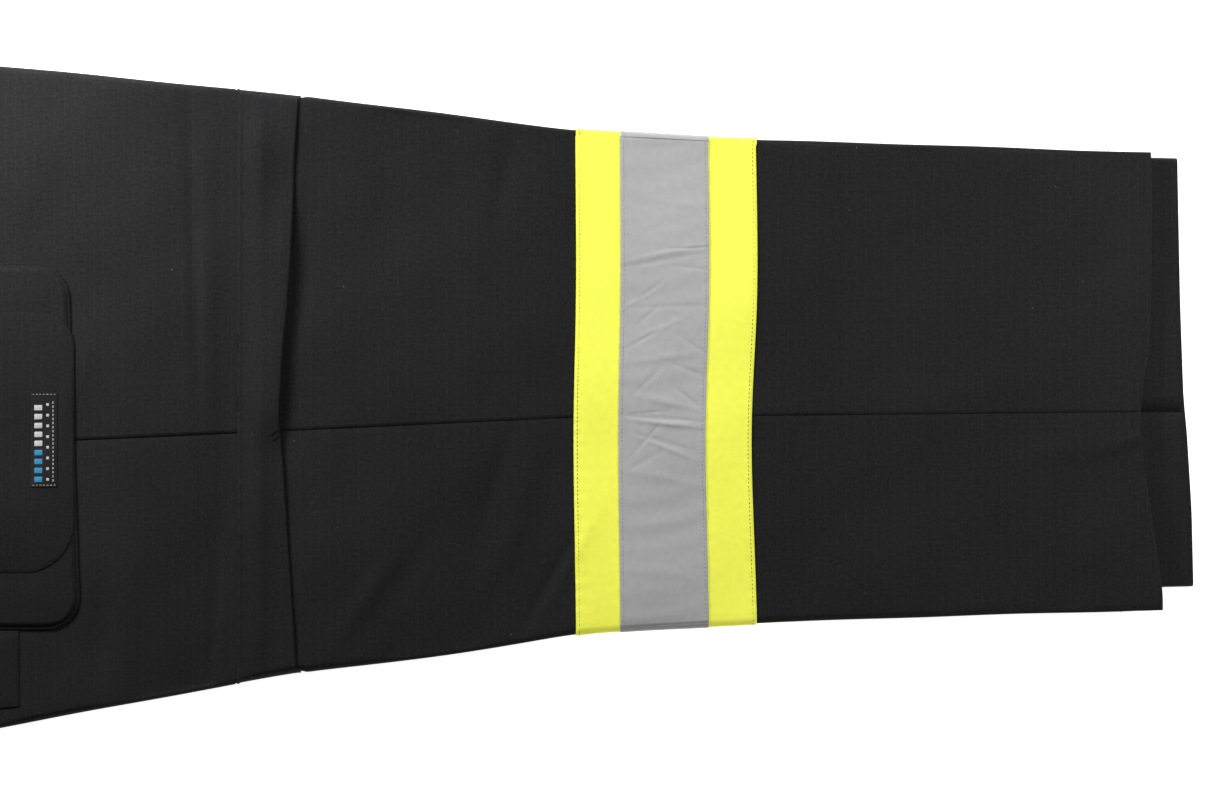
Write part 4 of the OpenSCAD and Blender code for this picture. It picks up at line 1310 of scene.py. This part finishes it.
bandTop = 1.1
hipPiece("waistbandOuter", (xWaist, xWaistSeam + 0.5 * mm), bandTop, pocketBlack, "waistband_outer",
         0.5)
hipPiece("waistbandLining", (xWaist + 1 * mm, xWaistSeam), -1.2, liningGrey, "waistband_lining",
         0.0, 0.4)
runs = []
for x in (xWaist + 2 * mm, xWaistSeam - 2 * mm):
    loop = hipGrid((x, x + 0.1 * mm), bandTop, half=np.linspace(-1.5, 1.5, 900))[0]
    out = hipGrid((x, x + 0.1 * mm), bandTop + 1, half=np.linspace(-1.5, 1.5, 900))[0] - loop
    runs.append((loop, out / np.linalg.norm(out, axis=1, keepdims=True)))
stitches("waistbandStitches", runs, threadBlack, "trousers")

for leg in legs.values():
    patchPiece(leg["name"] + "WaistElastic", leg, patches["elastic"],
               lambda u, v: -0.5 + 0.25 * np.sin(2 * np.pi * v / 5), elastic, "trousers",
               "waist_elastics" if leg is right else "", 1.2, 0.4)
patchPiece("careLabel", right, patches["care"], lambda u, v: -2.0 - 0.3 * np.sin(v / 9), careWhite,
           "trousers", "care_label", 2, 0.2)


def beltLoops():
    # each loop is a strip sewn down at both ends that stands clear of the waistband between them
    t = np.linspace(0, 1, 41)
    lift = 1.9 + 4.6 * smoothStep(t / 0.17) * smoothStep((1 - t) / 0.17)
    c = np.array([-1, -0.93, -0.6, -0.2, 0.2, 0.6, 0.93, 1.0])
    points, bars = [], {}
    for leg, places in ((right, (150, -28, -150, -245)), (left, (150, -28, -190))):
        for v0 in places:
            u, v = np.meshgrid(1.5 + 45 * t, v0 + 5.8 * c, indexing="ij")
            z = lift[:, None] - 0.25 * (np.abs(c) > 0.95)[None, :] + 0 * u
            points.append(onCloth(leg, u, v, z)[:, ::leg["sign"]])
            for u0 in (3.2, 44.8):
                top = 1.95 + 4.6 * smoothStep((u0 - 1.5) / 45 / 0.17) * smoothStep((46.5 - u0) / 45 / 0.17)
                bars.setdefault(leg["sign"], []).append(lineRun(leg, (u0, v0 - 5), (u0, v0 + 5), top))
    points = np.array(points)
    count = len(t) * len(c)
    faces = np.concatenate([gridFaces(len(t), len(c)) + count * k for k in range(len(points))])
    r, k = 2, 0
    first = points[0]
    normal = np.cross(first[r + 1, k] - first[r, k], first[r, k + 1] - first[r, k])
    faces = faces if normal[2] > 0 else faces[:, ::-1]
    uv = points.reshape(-1, 3)[:, :2]
    piece = meshObject("beltLoopStrips", points.reshape(-1, 3), faces, uv, pocketBlack)
    solid = piece.modifiers.new("thickness", "SOLIDIFY")
    solid.thickness = 0.9 * mm
    solid.offset = -1
    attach(piece, "trousers")
    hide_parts("belt_loops")
    declareSheet(piece, flat=(12, 7 * 55))
    runs = bars[1] + bars[-1]
    stitches("beltLoopBartacks", runs, threadBlack, "trousers", 0.5, (2.2, 0.45, 0.35),
             turned=True)


beltLoops()


def waistTab():
    # the end of the left waistband, lapped over the right one, with a rounded end
    c = np.linspace(-1, 1, 33)
    t = np.linspace(0, 1, 40)
    end = 6 - np.sqrt(np.maximum(36 - np.maximum(np.abs(c) * 18 - 12, 0) ** 2, 0))
    v = 233 + (174 + end[None, :] - 233) * t[:, None]
    u = 19 + 18 * c[None, :] + 0 * v
    d = np.minimum(18 - np.abs(u - 19), v - 174)
    lift = 2.0 - 0.25 * np.exp(-((d - 2) / 0.8) ** 2) - 0.5 * np.exp(-(np.maximum(d, 0) / 0.8) ** 2)
    grid = onCloth(right, u, v, lift)
    piece = clothPiece("waistTabCloth", grid, grid[..., :2], pocketBlack, (0, 0, 1), 0.8)
    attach(piece, "trousers")
    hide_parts("waist_tab")
    declareSheet(piece)
    border = [(3, 232), (3, 180), (7, 176.2), (31, 176.2), (35, 180), (35, 232)]
    runs = [lineRun(right, border[k], border[k + 1], 2.0) for k in range(5)]
    a = np.linspace(0, 2 * np.pi, 90)
    runs.append((onCloth(right, 19 + 7.4 * np.cos(a), 194 + 2.3 * np.sin(a), 2.05 + 0 * a), (0, 0, 1)))
    stitches("waistTabStitches", runs, threadBlack, "trousers", pitch=1.4, size=(1.1, 0.4, 0.3))


def lathe(name, profile, spot, material, segments=48):
    # a profile of (radius, height) points in mm turned about a vertical axis
    a = np.arange(segments) * 2 * np.pi / segments
    p = np.array(profile) * mm
    grid = np.stack([np.cos(a)[None] * p[:, :1], np.sin(a)[None] * p[:, :1], p[:, 1:] + 0 * a[None]], -1)
    grid = grid + spot
    faces = gridFaces(len(p), segments, closed=True)
    return meshObject(name, grid.reshape(-1, 3), faces, grid.reshape(-1, 3)[:, :2], material)


waistTab()
spot = onCloth(right, np.array(19.0), np.array(194.0), np.array(2.0))
button = [(0.02, -1.2), (2.1, -1.2), (2.2, 0.2), (2.6, 0.4), (6.8, 0.3), (8.1, 0.5), (8.5, 0.9), (8.5, 1.3),
          (8.1, 1.8), (7.4, 2.1), (6.9, 2.15), (6.5, 2.0), (6.2, 1.6), (5.8, 1.5), (5.4, 1.7), (5.0, 1.95),
          (3.2, 2.1), (2.9, 1.85),
          (2.6, 1.85), (2.3, 2.1), (1.0, 2.2), (0.02, 2.2)]
cap = lathe("waistButtonCap", button, spot, nickel)
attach(cap, "trousers")
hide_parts("waist_button")
print("waist made")


# the fly and the sliders

def flyPieces():
    # the facing and shield of the fly, its zip tapes bent along the front edge, and its teeth
    for leg, node in ((left, "fly_facing"), (right, "fly_shield")):
        name = "flyFacingCloth" if leg is left else "flyShieldCloth"
        patchPiece(name, leg, patches["fly"], lambda u, v: -1.2 + 0 * u, liningGrey, "trousers", node,
                   step=3, thick=0.5)
        u = np.linspace(50, 190, 60)[:, None]
        bend = np.array([(222, -2.3), (228, -2.3), (233, -2.4), (235.2, -2.9), (236, -4.0), (236, -5.2),
                         (236, -6.7)])
        x, y = at(u + 0 * bend[:, 0]), across(bend[:, 0] + 0 * u)
        z = hipMiddle + leg["sign"] * ((thighTop - hipMiddle) + bend[:, 1] * mm + 0 * u)
        grid = np.stack([x, y, z], -1)
        tapePiece = clothPiece(leg["name"] + "FlyZipTape", grid, runUv(grid), zipTape,
                               (0, 0, leg["sign"]), 0.4)
        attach(tapePiece, "trousers")
        if leg is left:
            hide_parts("fly_zip_tapes")
        declareSheet(tapePiece)
    rows = []
    for way in (1, -1):
        u = np.linspace(50, 190, 200)
        spots = np.stack([at(u), across(236 + 0 * u), hipMiddle + way * 2.1 * mm + 0 * u], -1)
        rows.append((spots, (0, 1, 0)))
    teeth = stitches("flyZipTeeth", rows, brassOld, "trousers", 1.8, (3.0, 1.1, 1.9),
                     turned=True)
    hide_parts("fly_zip_teeth")


def plate(outline, low, high, hole=None):
    # a flat plate: its outline and, if it has one, the ring of its hole; a, b in the plate and c through it
    outline = np.asarray(outline, float)
    if hole is None:
        loops = [outline]
    else:
        a = np.arctan2(outline[:, 1] - hole[1], outline[:, 0] - hole[0])
        loops = [outline, np.stack([hole[0] + hole[2] * np.cos(a), hole[1] + hole[2] * np.sin(a)], -1)]
    n = len(outline)
    points = np.concatenate([np.column_stack([p, np.full(n, c)]) for p in loops for c in (low, high)])
    k = np.arange(n)
    j = (k + 1) % n
    faces = [list(f) for f in np.stack([k, j, n + j, n + k], -1)]
    if hole is None:
        faces += [list(k[::-1]), list(n + k)]
    else:
        faces += [list(f) for f in np.stack([2 * n + j, 2 * n + k, 3 * n + k, 3 * n + j], -1)]
        faces += [list(f) for f in np.stack([j, k, 2 * n + k, 2 * n + j], -1)]
        faces += [list(f) for f in np.stack([n + k, n + j, 3 * n + j, 3 * n + k], -1)]
    return points, faces


def arc(centre, r, a0, a1, n=9):
    # points along part of a circle, by angle in degrees
    a = np.radians(np.linspace(a0, a1, n))
    return [(centre[0] + r * np.cos(t), centre[1] + r * np.sin(t)) for t in a]


bodyOutline = (arc((-4, -2.4), 1.1, 180, 270, 4) + arc((3.2, -3.9), 1.1, 270, 330, 4)
               + arc((4.6, -2.4), 1.0, 300, 360, 3) + arc((4.6, 2.4), 1.0, 0, 60, 3)
               + arc((3.2, 3.9), 1.1, 30, 90, 4) + arc((-4, 2.4), 1.1, 90, 180, 4))
pullOutline = (arc((-15.4, 0), 2.6, 120, 240, 9) + [(-12, -2.4), (-6, -1.9), (-3, -2.4)]
               + arc((1, 0), 3.3, 240, 480, 17)
               + [(-3, 2.4), (-6, 1.9), (-12, 2.4)])


def solidPiece(name, plates, place, material, body, nodes):
    # plates put together and turned into place: place is an origin and the three ways a, b and c run
    points, faces, count = [], [], 0
    for p, f in plates:
        points.append(p)
        faces += [[int(k) + count for k in face] for face in f]
        count += len(p)
    origin, ways = place
    world = np.asarray(origin) + np.concatenate(points) * mm @ np.array(ways, float)
    mesh = bpy.data.meshes.new(name)
    mesh.from_pydata(world.tolist(), [], faces)
    mesh.validate()
    mesh.materials.append(material)
    mesh.polygons.foreach_set("use_smooth", np.ones(len(mesh.polygons), bool))
    mesh.set_sharp_from_angle(angle=np.radians(40))
    piece = bpy.data.objects.new(name, mesh)
    bpy.context.scene.collection.objects.link(piece)
    bevel = piece.modifiers.new("edges", "BEVEL")
    bevel.width = 0.22 * mm
    bevel.segments = 2
    bevel.limit_method = "ANGLE"
    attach(piece, body)
    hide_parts(*nodes)


def sliderPieces(name, place, material, body, sliderNode, pullNode):
    # two plates joined by a wedge, a bridge over the outer one, and a flat pull held under the bridge
    bridge = [(-3.2, 2.2), (-2.7, 3.7), (-1.6, 4.3), (1.8, 4.3), (3.2, 3.6), (3.8, 2.2), (3.0, 2.2),
              (2.4, 3.2), (1.4, 3.5), (-1.2, 3.5), (-2.1, 3.1), (-2.4, 2.2)]
    p, f = plate(bridge, -0.7, 0.7)
    bridgePlate = (p[:, [0, 2, 1]], [face[::-1] for face in f])
    wedge = plate([(-1.5, -0.35), (3.9, -1.0), (4.3, 0), (3.9, 1.0), (-1.5, 0.35)], -1.4, 1.4)
    plates = [plate(bodyOutline, -2.3, -1.3), plate(bodyOutline, 1.3, 2.3), wedge, bridgePlate]
    solidPiece(name + "Body", plates, place, material, body, [sliderNode])
    pull = plate(pullOutline, 2.4, 3.2, hole=(1.0, 0.0, 1.7))
    solidPiece(name + "Pull", [pull], place, material, body, [pullNode])


flyPieces()
for leg in legs.values():
    side, sign = leg["name"], leg["sign"]
    x = zipLine + leg["shift"]
    y = across(-4)
    z = float(outerHeight(leg, np.array(x))) - sign * 1.1 * mm
    ways = [(0, 1, 0), (-sign, 0, 0), (0, 0, sign)]
    sliderPieces(side + "ZipSlider", ((x, y, z), ways), sliderPaint, side + "_slider", side + "_zip_slider",
                 side + "_zip_pull")
flySpot = (at(58), across(236), hipMiddle)
flyWays = [(-1, 0, 0), (0, 0, 1), (0, 1, 0)]
sliderPieces("flySlider", (flySpot, flyWays), brassOld, "fly_slider_body", "fly_slider", "fly_slider")
print("fly and sliders made")


# stitches of the long seams

def seamRun(leg, u0, u1, offset=2.1):
    # a line beside the outseam, on the front panel
    x = np.linspace(at(u0), at(u1), 1200)
    y = ySeam(x) + offset * mm
    z = outerCloth(leg, x, y) + leg["sign"] * (seamLift(x, offset * mm, True) + 0.05 * mm)
    return np.stack([x, y, z], -1), (0, 0, leg["sign"])


def hemRun(leg, inset=24):
    # a line round the leg, an even distance inside its hem
    w = fineSteps
    first = legSurface(leg, np.full(len(w), at(1080.0)), w)
    x = hemX(leg, first[:, 1]) - inset * mm
    path = legSurface(leg, x, w)
    out = legSurface(leg, x, w, 1 * mm) - path
    return path + out * 0.1, out / np.linalg.norm(out, axis=1, keepdims=True)


def riseRun(leg, f, u0, u1, inset):
    # beside the centre front or centre back seam of the hip
    x = np.linspace(at(u0), at(u1), 400)
    w = f * (1.5 - inset)
    path = legSurface(leg, x, np.full(400, w))
    out = legSurface(leg, x, np.full(400, w), 1 * mm) - path
    return path, out / np.linalg.norm(out, axis=1, keepdims=True)


for leg in legs.values():
    side, shift = leg["name"], leg["shift"] / mm
    runs = [seamRun(leg, 40, 266), seamRun(leg, 478, 563 + shift)]
    runs += [riseRun(leg, f, 40, 205, inset) for f in (1, -1) for inset in (0.1, 0.32)]
    runs += [lineRun(leg, a, b, 0.1) for a, b in (((40, 66), (196, -8)), ((42, 72), (199, -2)))]
    if leg is left:
        a = np.linspace(0, np.pi / 2, 60)
        u = np.concatenate([[40], 150 + 40 * np.sin(a)])
        v = np.concatenate([[200], 236 - 36 * np.cos(a)])
        runs.append((onCloth(leg, u, np.minimum(v, 232), 0.1 + 0 * u), (0, 0, -1)))
    stitches(side + "SeamStitches", runs, threadBlack, "trousers")
    runs = [seamRun(leg, 600 + shift, 753 + shift), seamRun(leg, 859 + shift, 1072 + shift), hemRun(leg)]
    stitches(side + "LowerSeamStitches", runs, threadBlack, leg["body"])
print("seams stitched")

bpy.context.view_layer.update()
